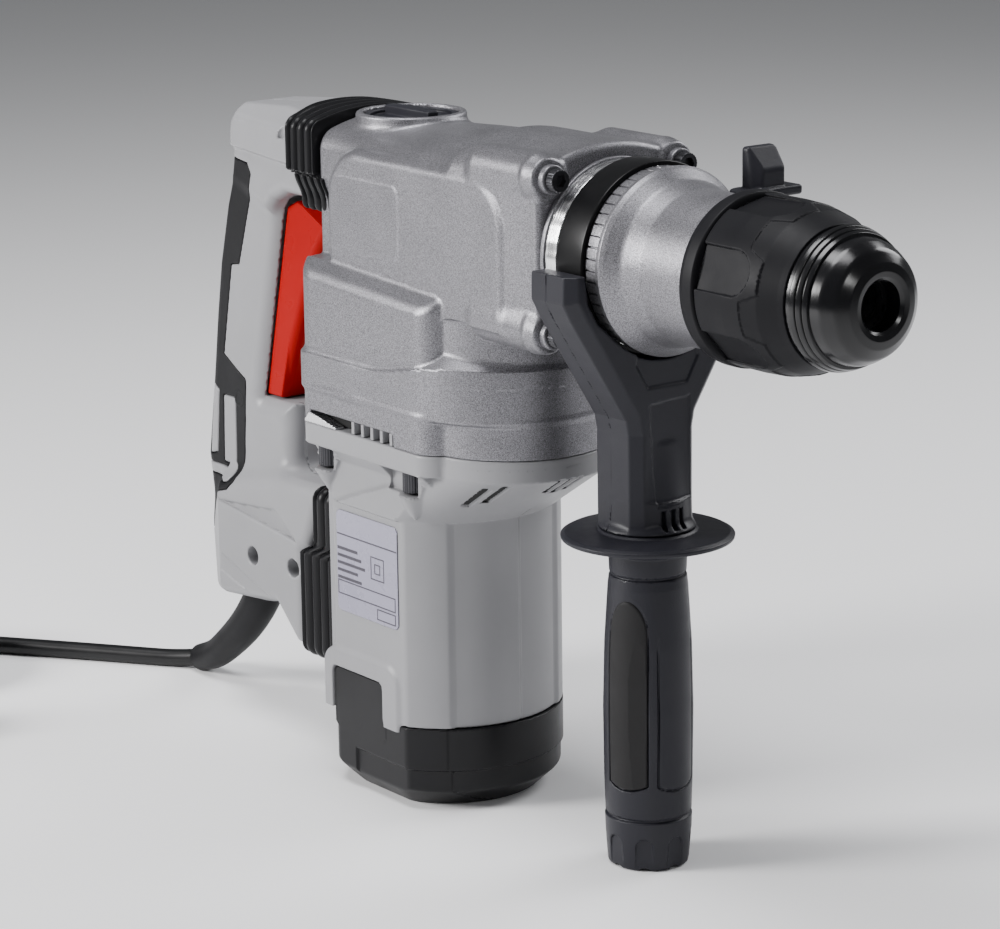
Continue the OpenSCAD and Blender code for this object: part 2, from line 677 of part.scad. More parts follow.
module side_grip() {
    color([0.1, 0.1, 0.11]) difference() {
        translate([-side_x, 0, 0]) rotate_extrude() polygon([[4.1, -104.6], [18, -104.6], [19, -105.5],
            [guard_r - 1, 1 - guard_z], [guard_r, -guard_z], [guard_r - 0.8, -guard_z - 2.1], [19, -112], [15.5, -115],
            [14.9, -121], [14.9, -124], [16.6, -126], [17.4, -150], [grip_r, -200], [17.2, -212], [16.9, -217],
            [17.1, -222], [17, -floor_z + 1], [16, -floor_z], [0, -floor_z], [0, -142], [4.1, -142]]);
        for (a = insert_angles) translate([-side_x, 0, -210]) rotate([0, 0, a]) translate([15.6, -9, 0])
            cube([5, 18, 78]);
    }
}
module grip_insert() {
    color([0.13, 0.13, 0.135]) intersection() {
        for (a = insert_angles) translate([-side_x, 0, -209.8]) rotate([0, 0, a])
            translate([15.7, -8.8, 0]) cube([5, 17.6, 77.6]);
        translate([-side_x, 0, -212]) cylinder(h = 90, r = grip_r + 0.3);
    }
}
module wing_screw() {
    color([0.08, 0.08, 0.085]) union() {
        zcyl(-side_x, rod_hole_y, rod_hole_z + rod_r + 0.4, 18, 3.05);
        translate([-side_x, rod_hole_y + 6, 16.4]) cylinder(h = 5, r = 9, $fn = 64);
        side_x_wing();
    }
}
module side_x_wing() {
    translate([-side_x + 3, 0, 0]) rotate([90, 0, -90]) linear_extrude(6)
        polygon([[-48, 20], [-49, 36], [-68, 34], [-70, 20]]);
}

// --- cord ----------------------------------------------------------------------------------------------

module cord_lead() {
    color([0.06, 0.06, 0.065]) swept_tube(smooth_route(lead_route, 2), cord_r, cord_r, 10);
}
module cord_coil() {
    color([0.06, 0.06, 0.065]) translate([coil_c[0], coil_c[1], -floor_z]) rotate_extrude()
        polygon([[coil_r - 8, 2], [coil_r - 6, 0], [coil_r + 6, 0], [coil_r + 8, 2], [coil_r + 8, 30],
            [coil_r + 6, 32], [coil_r - 6, 32], [coil_r - 8, 30]]);
}
module cord_tail() {
    color([0.06, 0.06, 0.065]) swept_tube(smooth_route(tail_route, 2), cord_r, cord_r, 10);
}
module mains_plug() {
    color([0.07, 0.07, 0.075]) translate([-487.9, -167, -235]) rotate([0, 0, 10]) rotate([0, 90, 0]) {
        translate([-1.5, 0, 0]) cylinder(h = 12, r = 5.5);
        translate([-5, 0, 11]) cylinder(h = 8, r = 9);
        translate([-14, 0, 18]) cylinder(h = 22, r = 18);
        for (s = [-1, 1]) translate([-14, s * 9.5, 39]) cylinder(h = 19, r = 2.4);
    }
}

gear_housing();
front_neck();
motor_housing();
motor_end_cap();
front_screws();
flange_screws();
cap_screws();
stator_core();
stator_windings();
brush_holders();
carbon_brushes();
bearing_plate();
motor_bearings();
crank_bearing();
cylinder_sleeve();
nose_bearing();
oil_seal();
air_baffle();
rating_label();
armature_shaft();
armature_core();
commutator();
cooling_fan();
crank_gear();
jackshaft();
crown_gear();
piston();
wrist_pin();
connecting_rod();
striker();
striker_ring();
impact_bolt();
tool_holder();
lock_rollers();
dust_cap();
sleeve_spring();
lock_sleeve();
rear_collar();
mode_knob();
handle_right();
handle_left();
grip_rubber();
handle_screws();
switch_module();
strain_relief();
damper_springs();
upper_bellows();
lower_bellows();
trigger();
clamp_band();
side_yoke();
handle_bolt();
side_grip();
grip_insert();
wing_screw();
cord_lead();
cord_coil();
cord_tail();
mains_plug();
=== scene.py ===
import json
import math

import bmesh
import bpy
import numpy as np
from numpy import maximum, minimum, where
from mathutils import Matrix, Vector


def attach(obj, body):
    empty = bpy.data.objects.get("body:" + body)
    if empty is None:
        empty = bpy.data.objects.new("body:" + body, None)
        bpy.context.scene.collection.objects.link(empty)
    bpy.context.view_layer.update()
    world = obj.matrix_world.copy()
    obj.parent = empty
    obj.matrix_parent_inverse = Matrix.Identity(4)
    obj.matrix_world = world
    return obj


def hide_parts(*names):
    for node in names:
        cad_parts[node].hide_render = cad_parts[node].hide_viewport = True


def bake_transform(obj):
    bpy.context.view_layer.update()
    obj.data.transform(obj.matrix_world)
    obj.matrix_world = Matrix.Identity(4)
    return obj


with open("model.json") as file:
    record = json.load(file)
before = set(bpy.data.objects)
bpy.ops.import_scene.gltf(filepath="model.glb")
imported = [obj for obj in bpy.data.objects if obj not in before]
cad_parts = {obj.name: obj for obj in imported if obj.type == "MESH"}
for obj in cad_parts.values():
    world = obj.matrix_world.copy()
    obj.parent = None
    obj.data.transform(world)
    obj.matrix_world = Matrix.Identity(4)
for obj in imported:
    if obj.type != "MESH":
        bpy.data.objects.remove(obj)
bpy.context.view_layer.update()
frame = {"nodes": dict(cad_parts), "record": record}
MM = 0.001

# Sizes that the CAD fixes, in millimetres
FRONT_X, REAR_X = -149.0, -302.0
MOTOR_X, MOTOR_R = -259.0, 46.9
FLOOR_Z = -239.0
CASE_Z, CAP_Z = -86.0, -203.8
SIDE_X, KNOB_X = -129.0, -279.0


# --- signed distances, in millimetres ---

def dist(*c):
    return np.sqrt(sum(v * v for v in c))


def smooth(t):
    t = np.clip(t, 0, 1)
    return t * t * (3 - 2 * t)


def join(a, b, k=0.0):
    """Union, with a fillet of about k where the two meet."""
    if k == 0:
        return minimum(a, b)
    h = maximum(k - abs(a - b), 0) / k
    return minimum(a, b) - h * h * k / 4


def both(a, b, k=0.0):
    """What the two have in common."""
    return -join(-a, -b, k)


def cut(a, b, k=0.0):
    """The first without the second."""
    return -join(-a, b, k)


def slab(v, lo, hi):
    """The space between two planes."""
    return abs(v - (lo + hi) / 2) - (hi - lo) / 2


def corner(a, b, r=0.0):
    """Two distances met at a right angle, with the edge rounded to r."""
    a, b = a + r, b + r
    return dist(maximum(a, 0), maximum(b, 0)) + minimum(maximum(a, b), 0) - r


def box(x, y, z, lo, hi, r=0.0):
    q = [abs(v - (l + h) / 2) - (h - l) / 2 + r for v, l, h in zip((x, y, z), lo, hi)]
    out = dist(*[maximum(v, 0) for v in q])
    return out + minimum(maximum(maximum(q[0], q[1]), q[2]), 0) - r


def disc(a, b, w, ca, cb, radius, w0, w1, r=0.0):
    """Cylinder round (ca, cb) in the plane of a and b, from w0 to w1."""
    return corner(dist(a - ca, b - cb) - radius, slab(w, w0, w1), r)


def outline(u, v, pts):
    """Distance to a polygon."""
    pts = np.array(pts, float)
    best = sign = None
    for i in range(len(pts)):
        a, b = pts[i], pts[i - 1]
        e = b - a
        wu, wv = u - a[0], v - a[1]
        t = np.clip((wu * e[0] + wv * e[1]) / (e @ e), 0, 1)
        d2 = (wu - e[0] * t) ** 2 + (wv - e[1] * t) ** 2
        c1, c2 = v >= a[1], v < b[1]
        c3 = e[0] * wv > e[1] * wu
        flip = where((c1 & c2 & c3) | (~c1 & ~c2 & ~c3), -1.0, 1.0)
        best = d2 if best is None else minimum(best, d2)
        sign = flip if sign is None else sign * flip
    return sign * np.sqrt(best)


def spin(a, b, count):
    """Angle round the axis, and the angle from the middle of the nearest of count sectors."""
    ang = np.arctan2(b, a)
    step = 2 * np.pi / count
    return ang, (ang + step / 2) % step - step / 2


# --- turning a signed distance into a mesh ---

def surface_cells(d):
    inside = d < 0
    corners = np.zeros(tuple(n - 1 for n in d.shape), np.uint8)
    for i in (0, 1):
        for j in (0, 1):
            for k in (0, 1):
                corners += inside[i:d.shape[0] - 1 + i, j:d.shape[1] - 1 + j, k:d.shape[2] - 1 + k]
    return inside, (corners > 0) & (corners < 8)


def surface_net(d, lo, cell):
    """Vertices and quads of the zero surface of the grid d."""
    inside, active = surface_cells(d)
    idx = np.argwhere(active)
    number = -np.ones(active.shape, np.int64)
    number[active] = np.arange(len(idx))
    total = np.zeros((len(idx), 3))
    count = np.zeros(len(idx))
    for axis in range(3):
        step = np.eye(3, dtype=int)[axis]
        others = [a for a in range(3) if a != axis]
        for p in (0, 1):
            for q in (0, 1):
                c = idx.copy()
                c[:, others[0]] += p
                c[:, others[1]] += q
                a = d[tuple(c.T)]
                b = d[tuple((c + step).T)]
                crosses = (a < 0) != (b < 0)
                t = where(crosses, a / where(a == b, 1, a - b), 0)
                total[crosses] += (c + step * t[:, None])[crosses]
                count[crosses] += 1
    verts = np.array(lo) + cell * total / count[:, None]
    quads = []
    for axis in range(3):
        n = d.shape
        u, v = [(1, 2), (2, 0), (0, 1)][axis]
        sl0, sl1 = [slice(1, -1)] * 3, [slice(1, -1)] * 3
        sl0[axis], sl1[axis] = slice(0, n[axis] - 1), slice(1, n[axis])
        a, b = inside[tuple(sl0)], inside[tuple(sl1)]
        cells = np.argwhere(a != b)
        if not len(cells):
            continue
        at = cells + 1
        at[:, axis] -= 1
        forward = a[tuple(cells.T)]
        eu, ev = np.eye(3, dtype=int)[u], np.eye(3, dtype=int)[v]
        ring = [number[tuple((at - s * eu - t * ev).T)] for s, t in ((1, 1), (0, 1), (0, 0), (1, 0))]
        ring = np.stack(ring, 1)
        quads.append(where(forward[:, None], ring, ring[:, ::-1]))
    return verts, np.concatenate(quads)


def slope(field, p, e):
    g = np.empty_like(p)
    for a in range(3):
        s = np.zeros(3)
        s[a] = e
        g[:, a] = field(*(p + s).T) - field(*(p - s).T)
    return g / (2 * e)


def field_mesh(field, lo, hi, cell):
    """Meshes the surface of field inside a box, its points drawn onto the true surface."""
    lo = np.array(lo, float) - 1.6 * cell
    n = np.ceil((np.array(hi, float) + 1.6 * cell - lo) / cell).astype(int) + 1
    x, y, z = [lo[a] + cell * np.arange(n[a]) for a in range(3)]
    d = field(x[:, None, None], y[None, :, None], z[None, None, :])
    d = np.broadcast_to(d, tuple(n)).astype(np.float32)
    verts, quads = surface_net(d, lo, cell)
    for _ in range(2):
        g = slope(field, verts, 0.08)
        size = maximum((g * g).sum(1), 0.2)
        move = -(field(*verts.T) / size)[:, None] * g
        far = np.linalg.norm(move, axis=1)
        verts += move * minimum(1, 0.45 * cell / maximum(far, 1e-9))[:, None]
    normals = slope(field, verts, 0.12 * cell)
    normals /= maximum(np.linalg.norm(normals, axis=1), 1e-9)[:, None]
    return verts, quads, normals


def new_mesh(name, verts, faces, mat, normals=None):
    me = bpy.data.meshes.new(name)
    me.vertices.add(len(verts))
    me.vertices.foreach_set("co", np.asarray(verts, np.float32).ravel() * MM)
    faces = np.asarray(faces)
    me.loops.add(faces.size)
    me.loops.foreach_set("vertex_index", faces.ravel().astype(np.int32))
    me.polygons.add(len(faces))
    me.polygons.foreach_set("loop_start", (np.arange(len(faces)) * faces.shape[1]).astype(np.int32))
    me.update(calc_edges=True)
    me.validate()
    me.polygons.foreach_set("use_smooth", np.ones(len(me.polygons), bool))
    if normals is not None and len(me.vertices) == len(normals):
        me.normals_split_custom_set_from_vertices(normals.astype(np.float32).tolist())
    me.materials.append(mat)
    return add(name, me)


def add(name, data):
    ob = bpy.data.objects.new(name, data)
    bpy.context.collection.objects.link(ob)
    return ob


def place(ob, body, nodes=""):
    """Puts an object on a body, in place of the CAD nodes it stands for."""
    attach(ob, body)
    if nodes:
        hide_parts(*nodes.split())
    return ob


def shape(name, field, lo, hi, cell, mat, body, nodes=""):
    verts, quads, normals = field_mesh(field, lo, hi, cell)
    return place(new_mesh(name, verts, quads, mat, normals), body, nodes)


def revolve(name, profile, axis, mat, body, nodes="", count=144, shift=None, at=(0, 0, 0)):
    """A closed profile of (along, radius) points turned round an axis, shift(radius, angle) added."""
    pts = np.array(profile, float)
    ang = np.arange(count) * 2 * np.pi / count
    along = np.repeat(pts[:, 0], count)
    rad = np.repeat(pts[:, 1], count)
    phi = np.tile(ang, len(pts))
    if shift is not None:
        rad = rad + shift(rad, phi)
    across, up = rad * np.cos(phi), rad * np.sin(phi)
    cols = {"X": (along, across, up), "Z": (across, up, along), "Y": (across, along, up)}[axis]
    verts = np.stack(cols, 1) + np.array(at, float)
    i = np.arange(len(pts))[:, None] * count
    j = ((np.arange(len(pts)) + 1) % len(pts))[:, None] * count
    k = np.arange(count)[None]
    n = (k + 1) % count
    faces = np.stack([i + k, j + k, j + n, i + n], 2).reshape(-1, 4)
    ob = new_mesh(name, verts, faces, mat)
    outward(ob)
    ob.data.set_sharp_from_angle(angle=math.radians(32))
    return place(ob, body, nodes)


def outward(ob):
    """Merges doubled points and turns every face outward."""
    bm = bmesh.new()
    bm.from_mesh(ob.data)
    bmesh.ops.remove_doubles(bm, verts=bm.verts, dist=1e-7)
    bmesh.ops.recalc_face_normals(bm, faces=bm.faces)
    bm.to_mesh(ob.data)
    bm.free()


def rounded(points, steps=5):
    """A closed outline; a point's third number rounds it to that radius."""
    out = []
    for i, p in enumerate(points):
        if len(p) < 3 or p[2] == 0:
            out.append(p[:2])
            continue
        c = np.array(p[:2], float)
        a = np.array(points[i - 1][:2], float) - c
        b = np.array(points[(i + 1) % len(points)][:2], float) - c
        la, lb = np.linalg.norm(a), np.linalg.norm(b)
        half = math.acos(max(-1, min(1, (a @ b) / (la * lb)))) / 2
        run = min(p[2] / math.tan(half), 0.48 * la, 0.48 * lb)
        s, e = c + a / la * run, c + b / lb * run
        for t in np.linspace(0, 1, steps):
            out.append(tuple((1 - t) ** 2 * s + 2 * t * (1 - t) * c + t * t * e))
    return out


def tube(name, path, radii, mat, body, nodes="", sides=24):
    """A tube along a smooth path, with its radii spread evenly over the length."""
    path = np.array(path, float)
    tang = np.gradient(path, axis=0)
    tang /= np.linalg.norm(tang, axis=1)[:, None]
    side = np.cross(tang, [0, 1, 0])
    side /= np.linalg.norm(side, axis=1)[:, None]
    over = np.cross(side, tang)
    share = np.linspace(0, 1, len(path))
    r = np.interp(share, np.linspace(0, 1, len(radii)), radii)
    a = np.arange(sides) * 2 * np.pi / sides
    verts = path[:, None] + r[:, None, None] * (np.cos(a)[None, :, None] * side[:, None]
                                                + np.sin(a)[None, :, None] * over[:, None])
    n = len(path)
    i = (np.arange(n - 1) * sides)[:, None]
    k = np.arange(sides)[None]
    m = (k + 1) % sides
    faces = np.stack([i + k, i + m, i + sides + m, i + sides + k], 2).reshape(-1, 4).tolist()
    faces += [list(range(sides))[::-1], list(range((n - 1) * sides, n * sides))]
    me = bpy.data.meshes.new(name)
    me.from_pydata((verts.reshape(-1, 3) * MM).tolist(), [], faces)
    me.materials.append(mat)
    me.polygons.foreach_set("use_smooth", np.ones(len(me.polygons), bool))
    ob = add(name, me)
    outward(ob)
    me.set_sharp_from_angle(angle=math.radians(40))
    return place(ob, body, nodes)


def through(points, steps):
    """A smooth route through the points."""
    p = np.array(points, float)
    out = []
    for i in range(len(p) - 1):
        a, b, c, d = p[max(i - 1, 0)], p[i], p[i + 1], p[min(i + 2, len(p) - 1)]
        for t in np.arange(steps) / steps:
            out.append(0.5 * (2 * b + (c - a) * t + (2 * a - 5 * b + 4 * c - d) * t ** 2
                              + (3 * b - a - 3 * c + d) * t ** 3))
    return np.array(out + [p[-1]])


# --- materials ---

class Mat:
    """A small builder round one Principled shader."""

    def __init__(self, name, color, rough, metal=0.0, **sockets):
        self.mat = bpy.data.materials.new(name)
        self.mat.use_nodes = True
        self.tree = self.mat.node_tree
        self.shader = self.tree.nodes["Principled BSDF"]
        self.color, self.rough = color, rough
        self.set(self.shader, "Base Color", (*color, 1))
        self.set(self.shader, "Roughness", rough)
        self.set(self.shader, "Metallic", metal)
        for key, value in sockets.items():
            self.set(self.shader, key.replace("_", " "), value)
        self.place = self.node("ShaderNodeTexCoord").outputs["Object"]
        self.normal = None

    def node(self, kind, **values):
        n = self.tree.nodes.new(kind)
        for key, value in values.items():
            if hasattr(n, key):
                setattr(n, key, value)
            else:
                self.set(n, key.replace("_", " "), value)
        return n

    def set(self, node, key, value):
        node.inputs[key].default_value = value

    def link(self, a, b):
        self.tree.links.new(a, b)

    def noise(self, scale, detail=2.0, rough=0.5, stretch=None):
        n = self.node("ShaderNodeTexNoise", Scale=scale, Detail=detail, Roughness=rough)
        source = self.place
        if stretch:
            m = self.node("ShaderNodeMapping")
            self.set(m, "Scale", stretch)
            self.link(source, m.inputs["Vector"])
            source = m.outputs["Vector"]
        self.link(source, n.inputs["Vector"])
        return n.outputs["Fac"]

    def ramp(self, source, lo, hi, out_lo, out_hi):
        n = self.node("ShaderNodeMapRange")
        for key, value in (("From Min", lo), ("From Max", hi), ("To Min", out_lo), ("To Max", out_hi)):
            self.set(n, key, value)
        self.link(source, n.inputs["Value"])
        return n.outputs["Result"]

    def tint(self, source, dark, light):
        n = self.node("ShaderNodeMix", data_type="RGBA")
        n.inputs[6].default_value = (*dark, 1)
        n.inputs[7].default_value = (*light, 1)
        self.link(source, n.inputs[0])
        return n.outputs[2]

    def colour(self, out):
        self.link(out, self.shader.inputs["Base Color"])

    def roughness(self, out):
        self.link(out, self.shader.inputs["Roughness"])

    def bump(self, source, strength, distance):
        n = self.node("ShaderNodeBump", Strength=strength, Distance=distance)
        self.link(source, n.inputs["Height"])
        if self.normal is not None:
            self.link(self.normal, n.inputs["Normal"])
        self.normal = n.outputs["Normal"]
        self.link(self.normal, self.shader.inputs["Normal"])

    def lighter_edges(self, light, amount=1.0):
        """Edges painted lighter, where the surface turns sharply."""
        g = self.node("ShaderNodeNewGeometry").outputs["Pointiness"]
        edge = self.ramp(g, 0.53, 0.62, 0.0, amount)
        n = self.node("ShaderNodeMix", data_type="RGBA")
        old = self.shader.inputs["Base Color"]
        if old.is_linked:
            self.link(old.links[0].from_socket, n.inputs[6])
        else:
            n.inputs[6].default_value = old.default_value
        n.inputs[7].default_value = (*light, 1)
        self.link(edge, n.inputs[0])
        self.link(n.outputs[2], old)


def shade(c, k):
    return tuple(v * k for v in c)


def hammered():
    """Sparkling hammered silver paint: fine light and dark grains over broad soft patches."""
    m = Mat("cast_silver", (0.5, 0.5, 0.51), 0.42, 0.72)
    grain = m.noise(2200, 2.0, 0.6)
    fine = m.noise(4200, 1.0, 0.5)
    both_grains = m.node("ShaderNodeMath", operation="ADD")
    m.link(grain, both_grains.inputs[0])
    m.link(fine, both_grains.inputs[1])
    speck = m.ramp(both_grains.outputs[0], 0.72, 1.28, 0.0, 1.0)
    m.colour(m.tint(speck, (0.075, 0.074, 0.08), (0.36, 0.355, 0.38)))
    m.roughness(m.ramp(m.noise(60, 3.0), 0.3, 0.7, 0.34, 0.44))
    m.bump(grain, 0.35, 0.0003)
    m.lighter_edges((0.4, 0.4, 0.41), 0.2)
    return m.mat


def moulded(name, color, rough, texture=0.12, grain=2600, spread=0.07, light=None, **sockets):
    """Moulded plastic or rubber: fine texture, faint cloudiness, handling marks in the gloss."""
    m = Mat(name, color, rough, **sockets)
    m.colour(m.tint(m.noise(38, 4.0, 0.6), shade(color, 1 - spread), shade(color, 1 + spread)))
    m.roughness(m.ramp(m.noise(75, 5.0, 0.65), 0.3, 0.7, rough - 0.05, rough + 0.06))
    m.bump(m.noise(grain, 2.0, 0.5), texture, 0.00015)
    if light:
        m.lighter_edges(light, 0.5)
    return m.mat


def machined(name, color, rough, stretch, metal=1.0, texture=0.3):
    """Turned or drawn metal: long fine lines one way."""
    m = Mat(name, color, rough, metal)
    lines = m.noise(400, 3.0, 0.7, stretch)
    m.colour(m.tint(lines, shade(color, 0.8), shade(color, 1.12)))
    m.roughness(m.ramp(lines, 0.3, 0.7, rough - 0.07, rough + 0.1))
    m.bump(lines, texture, 0.0002)
    return m.mat


SILVER = hammered()
GREY = moulded("grey_plastic", (0.27, 0.27, 0.28), 0.42, 0.10, light=(0.32, 0.32, 0.33))
BLACK = moulded("black_plastic", (0.0150, 0.0150, 0.0205), 0.42, 0.30, 1900, 0.10,
                light=(0.02, 0.02, 0.025), Specular_IOR_Level=0.28)
SLEEVE = moulded("sleeve_black", (0.0058, 0.0058, 0.0074), 0.50, 0.14, 2300, 0.10,
                 light=(0.012, 0.012, 0.014), Specular_IOR_Level=0.15)
CAP_BLACK = moulded("cap_black", (0.0055, 0.0055, 0.0065), 0.36, 0.10, 2300, 0.12,
                    light=(0.012, 0.012, 0.012), Specular_IOR_Level=0.24)
BELLOWS = moulded("bellows_rubber", (0.0055, 0.0055, 0.0065), 0.36, 0.10, 2000, 0.12,
                  light=(0.016, 0.016, 0.018), Specular_IOR_Level=0.2)
SOFT = moulded("grip_rubber", (0.006, 0.006, 0.007), 0.5, 0.18, 1800, 0.1, Specular_IOR_Level=0.2)
INSERT = moulded("soft_insert", (0.012, 0.0115, 0.012), 0.6, 0.2, 1500, 0.1, Specular_IOR_Level=0.25)
GLOSS = moulded("gloss_rubber", (0.0040, 0.0040, 0.0050), 0.20, 0.04, 900, 0.1,
                light=(0.01, 0.01, 0.012), Specular_IOR_Level=0.45)
RED = moulded("red_plastic", (0.34, 0.0003, 0.0), 0.30, 0.05, 2600, 0.05,
              light=(0.40, 0.0006, 0.0), Specular_IOR_Level=0.08)
BAND = moulded("band_steel", (0.003, 0.003, 0.0035), 0.34, 0.03, 1500, 0.05, Specular_IOR_Level=0.2)
CORD = moulded("cord_rubber", (0.005, 0.005, 0.0055), 0.36, 0.12, 1700, 0.1, Specular_IOR_Level=0.4)
LABEL = moulded("label_film", (0.30, 0.29, 0.37), 0.28, 0.03, 2600, 0.02)
INK = moulded("label_ink", (0.05, 0.045, 0.06), 0.4, 0.03, 2600, 0.05)
# Painted shade: a near-black fill standing for the shadowed insides seen through the vent and the funnel
# slots
SHADE_FILL = moulded("painted_shade_fill", (0.004, 0.004, 0.004), 0.7, 0.1, 900, 0.1)
BRIGHT = machined("bright_seat", (0.74, 0.74, 0.75), 0.24, (3, 0.15, 0.15), 1.0, 0.8)
OXIDE = machined("black_oxide", (0.045, 0.045, 0.05), 0.33, (0.4, 0.4, 3), 0.7, 0.2)
STEEL = machined("machined_steel", (0.45, 0.45, 0.47), 0.30, (3, 0.3, 0.3), 1.0, 0.3)
ALU = machined("machined_alu", (0.6, 0.6, 0.62), 0.35, (0.3, 0.3, 3), 1.0, 0.3)
COPPER = machined("copper", (0.5, 0.21, 0.09), 0.35, (0.3, 0.3, 4), 0.9, 0.5)
BRASS = machined("brass", (0.58, 0.42, 0.15), 0.32, (0.3, 0.3, 3), 1.0, 0.3)

# What the CAD's own pieces wear, by slot
SLOT_LOOK = {"cast_silver": SILVER, "grey_plastic": GREY, "black_plastic": BLACK, "band_steel": BAND,
             "black_rubber": BELLOWS, "gloss_rubber": GLOSS, "soft_insert": INSERT, "red_plastic": RED,
             "black_oxide": OXIDE, "machined_steel": STEEL, "machined_alu": ALU, "copper": COPPER,
             "brass": BRASS, "carbon": SOFT, "label_film": LABEL, "switch_plastic": SOFT, "cord_rubber": CORD}
for part in frame["record"]["subparts"]:
    inner = frame["nodes"][part["node"]]
    inner.data.materials.clear()
    inner.data.materials.append(SLOT_LOOK[part["material_slot"]])


# --- camera, cord, floor and light ---

def camera():
    data = bpy.data.cameras.new("camera")
    data.lens, data.sensor_width = 126.02, 36
    data.shift_x, data.shift_y = -0.01246, 0.00403
    data.clip_start, data.clip_end = 0.05, 20
    ob = add("camera", data)
    right = Vector((0.6058, 0.7955, -0.0121)).normalized()
    back = Vector((0.774, -0.5858, 0.2404)).normalized()
    up = back.cross(right).normalized()
    right = up.cross(back)
    turn = Matrix((right, up, back)).transposed().to_4x4()
    ob.matrix_world = Matrix.Translation(Vector((0.870, -0.8205, 0.2385))) @ turn
    bpy.context.scene.camera = ob


camera()

# The cord's radius, its coil and the route of its free ends, in millimetres
CORD_R = 4.0
COIL_AT, COIL_IN, COIL_OUT = np.array([-544.0, -128.0]), 40.0, 48.0
LEAD = [[-454, 0, -233.5], [-464, -7, -235], [-476, -16, -235], [-496, -30.5, -235], [-516, -45.5, -235],
        [-535, -60, -235], [-551, -73, -235], [-563, -84, -235]]
TAIL = [[-522, -174.5, -211], [-513, -172, -217.5], [-505, -170, -228], [-497, -168.5, -235],
        [-488, -167, -235]]
PLUG_AT, PLUG_TURN = (-487.9, -167.0, -235), math.radians(10)
RELIEF = [[-394.5, 0, -178], [-397.5, 0, -187], [-404, 0, -197], [-415, 0, -209], [-429, 0, -220.5],
          [-441, 0, -228.5], [-453.9, 0, -233.5]]


def coil_turns():
    """Turns of spare cord, an outer and an inner one in each layer, each a little short of a full turn."""
    first, last, turns, step = 128.5, 295.0, 6, 12.0
    full, crossing = 352.0, 38.0
    stops = [(COIL_OUT, -235), (COIL_IN, -235), (COIL_IN, -227), (COIL_OUT, -227), (COIL_OUT, -219),
             (COIL_IN, -219), (COIL_IN, -211), (COIL_OUT, -211)]
    out = []
    for a in np.arange(first, last + 360 * turns - 4, step):
        k = (a - first) / full
        i = min(int(k), len(stops) - 2)
        t = smooth(np.array(((k - i) * full - (full - crossing)) / crossing))
        (r0, z0), (r1, z1) = stops[i], stops[i + 1]
        r = r0 * (1 - t) + r1 * t
        x, y = COIL_AT + r * np.array([math.cos(math.radians(a)), math.sin(math.radians(a))])
        out.append([x, y, float(z0 * (1 - t) + z1 * t)])
    return out


def mains_cord():
    pts = LEAD + coil_turns() + TAIL
    curve = bpy.data.curves.new("mains_cord", "CURVE")
    curve.dimensions = "3D"
    curve.bevel_depth, curve.bevel_resolution, curve.resolution_u = CORD_R * MM, 5, 6
    curve.use_fill_caps = True
    line = curve.splines.new("NURBS")
    line.points.add(len(pts) - 1)
    for p, c in zip(line.points, pts):
        p.co = (c[0] * MM, c[1] * MM, c[2] * MM, 1)
    line.order_u, line.use_endpoint_u = 3, True
    curve.materials.append(CORD)
    ob = add("mains_cord", curve)
    length = sum(np.linalg.norm(np.diff(np.array(pts), axis=0), axis=1)) * MM
    return place(ob, "rear_handle", "cord_lead cord_coil cord_tail"), length


def plug():
    """Rounded two-pin plug lying on its side."""
    x0, y0, z0 = PLUG_AT
    along, across = math.cos(PLUG_TURN), math.sin(PLUG_TURN)

    def field(x, y, z):
        px, py, w = x - x0, y - y0, z - z0
        u, v = px * along + py * across, py * along - px * across
        neck = corner(dist(v, w) - (5.4 + 0.5 * np.cos(u * 2 * np.pi / 3.2)), slab(u, 0, 15), 0.5)
        swell = smooth((u - 8) / 16)
        body = corner(dist(v, w - 14.0 * swell) - (8 + 9.6 * swell), slab(u, 10, 40), 2.4)
        body = cut(body, corner(dist(v, w - 14) - 14.6, slab(u, 38.4, 42), 0.4), 0.4)
        return join(neck, body, 2.5)

    lo, hi = (-490, -190, -240), (-443, -142, -200)
    pieces = [shape("plug_body", field, lo, hi, 0.85, CORD, "rear_handle", "mains_plug")]
    radii = [2.4, 2.4, 2.4, 2.4, 2.0, 1.2]
    for i, side in enumerate((-9.5, 9.5)):
        root = np.array([x0 - side * across, y0 + side * along, z0 + 14])
        path = [root + (38 + 19.5 * t) * np.array([along, across, 0]) for t in (0, 0.3, 0.7, 0.93, 0.98, 1.0)]
        pieces.append(tube("plug_pin_%d" % i, path, radii, BRASS, "rear_handle"))
    return pieces


CORD_OB, CORD_LENGTH = mains_cord()
PLUG = plug()


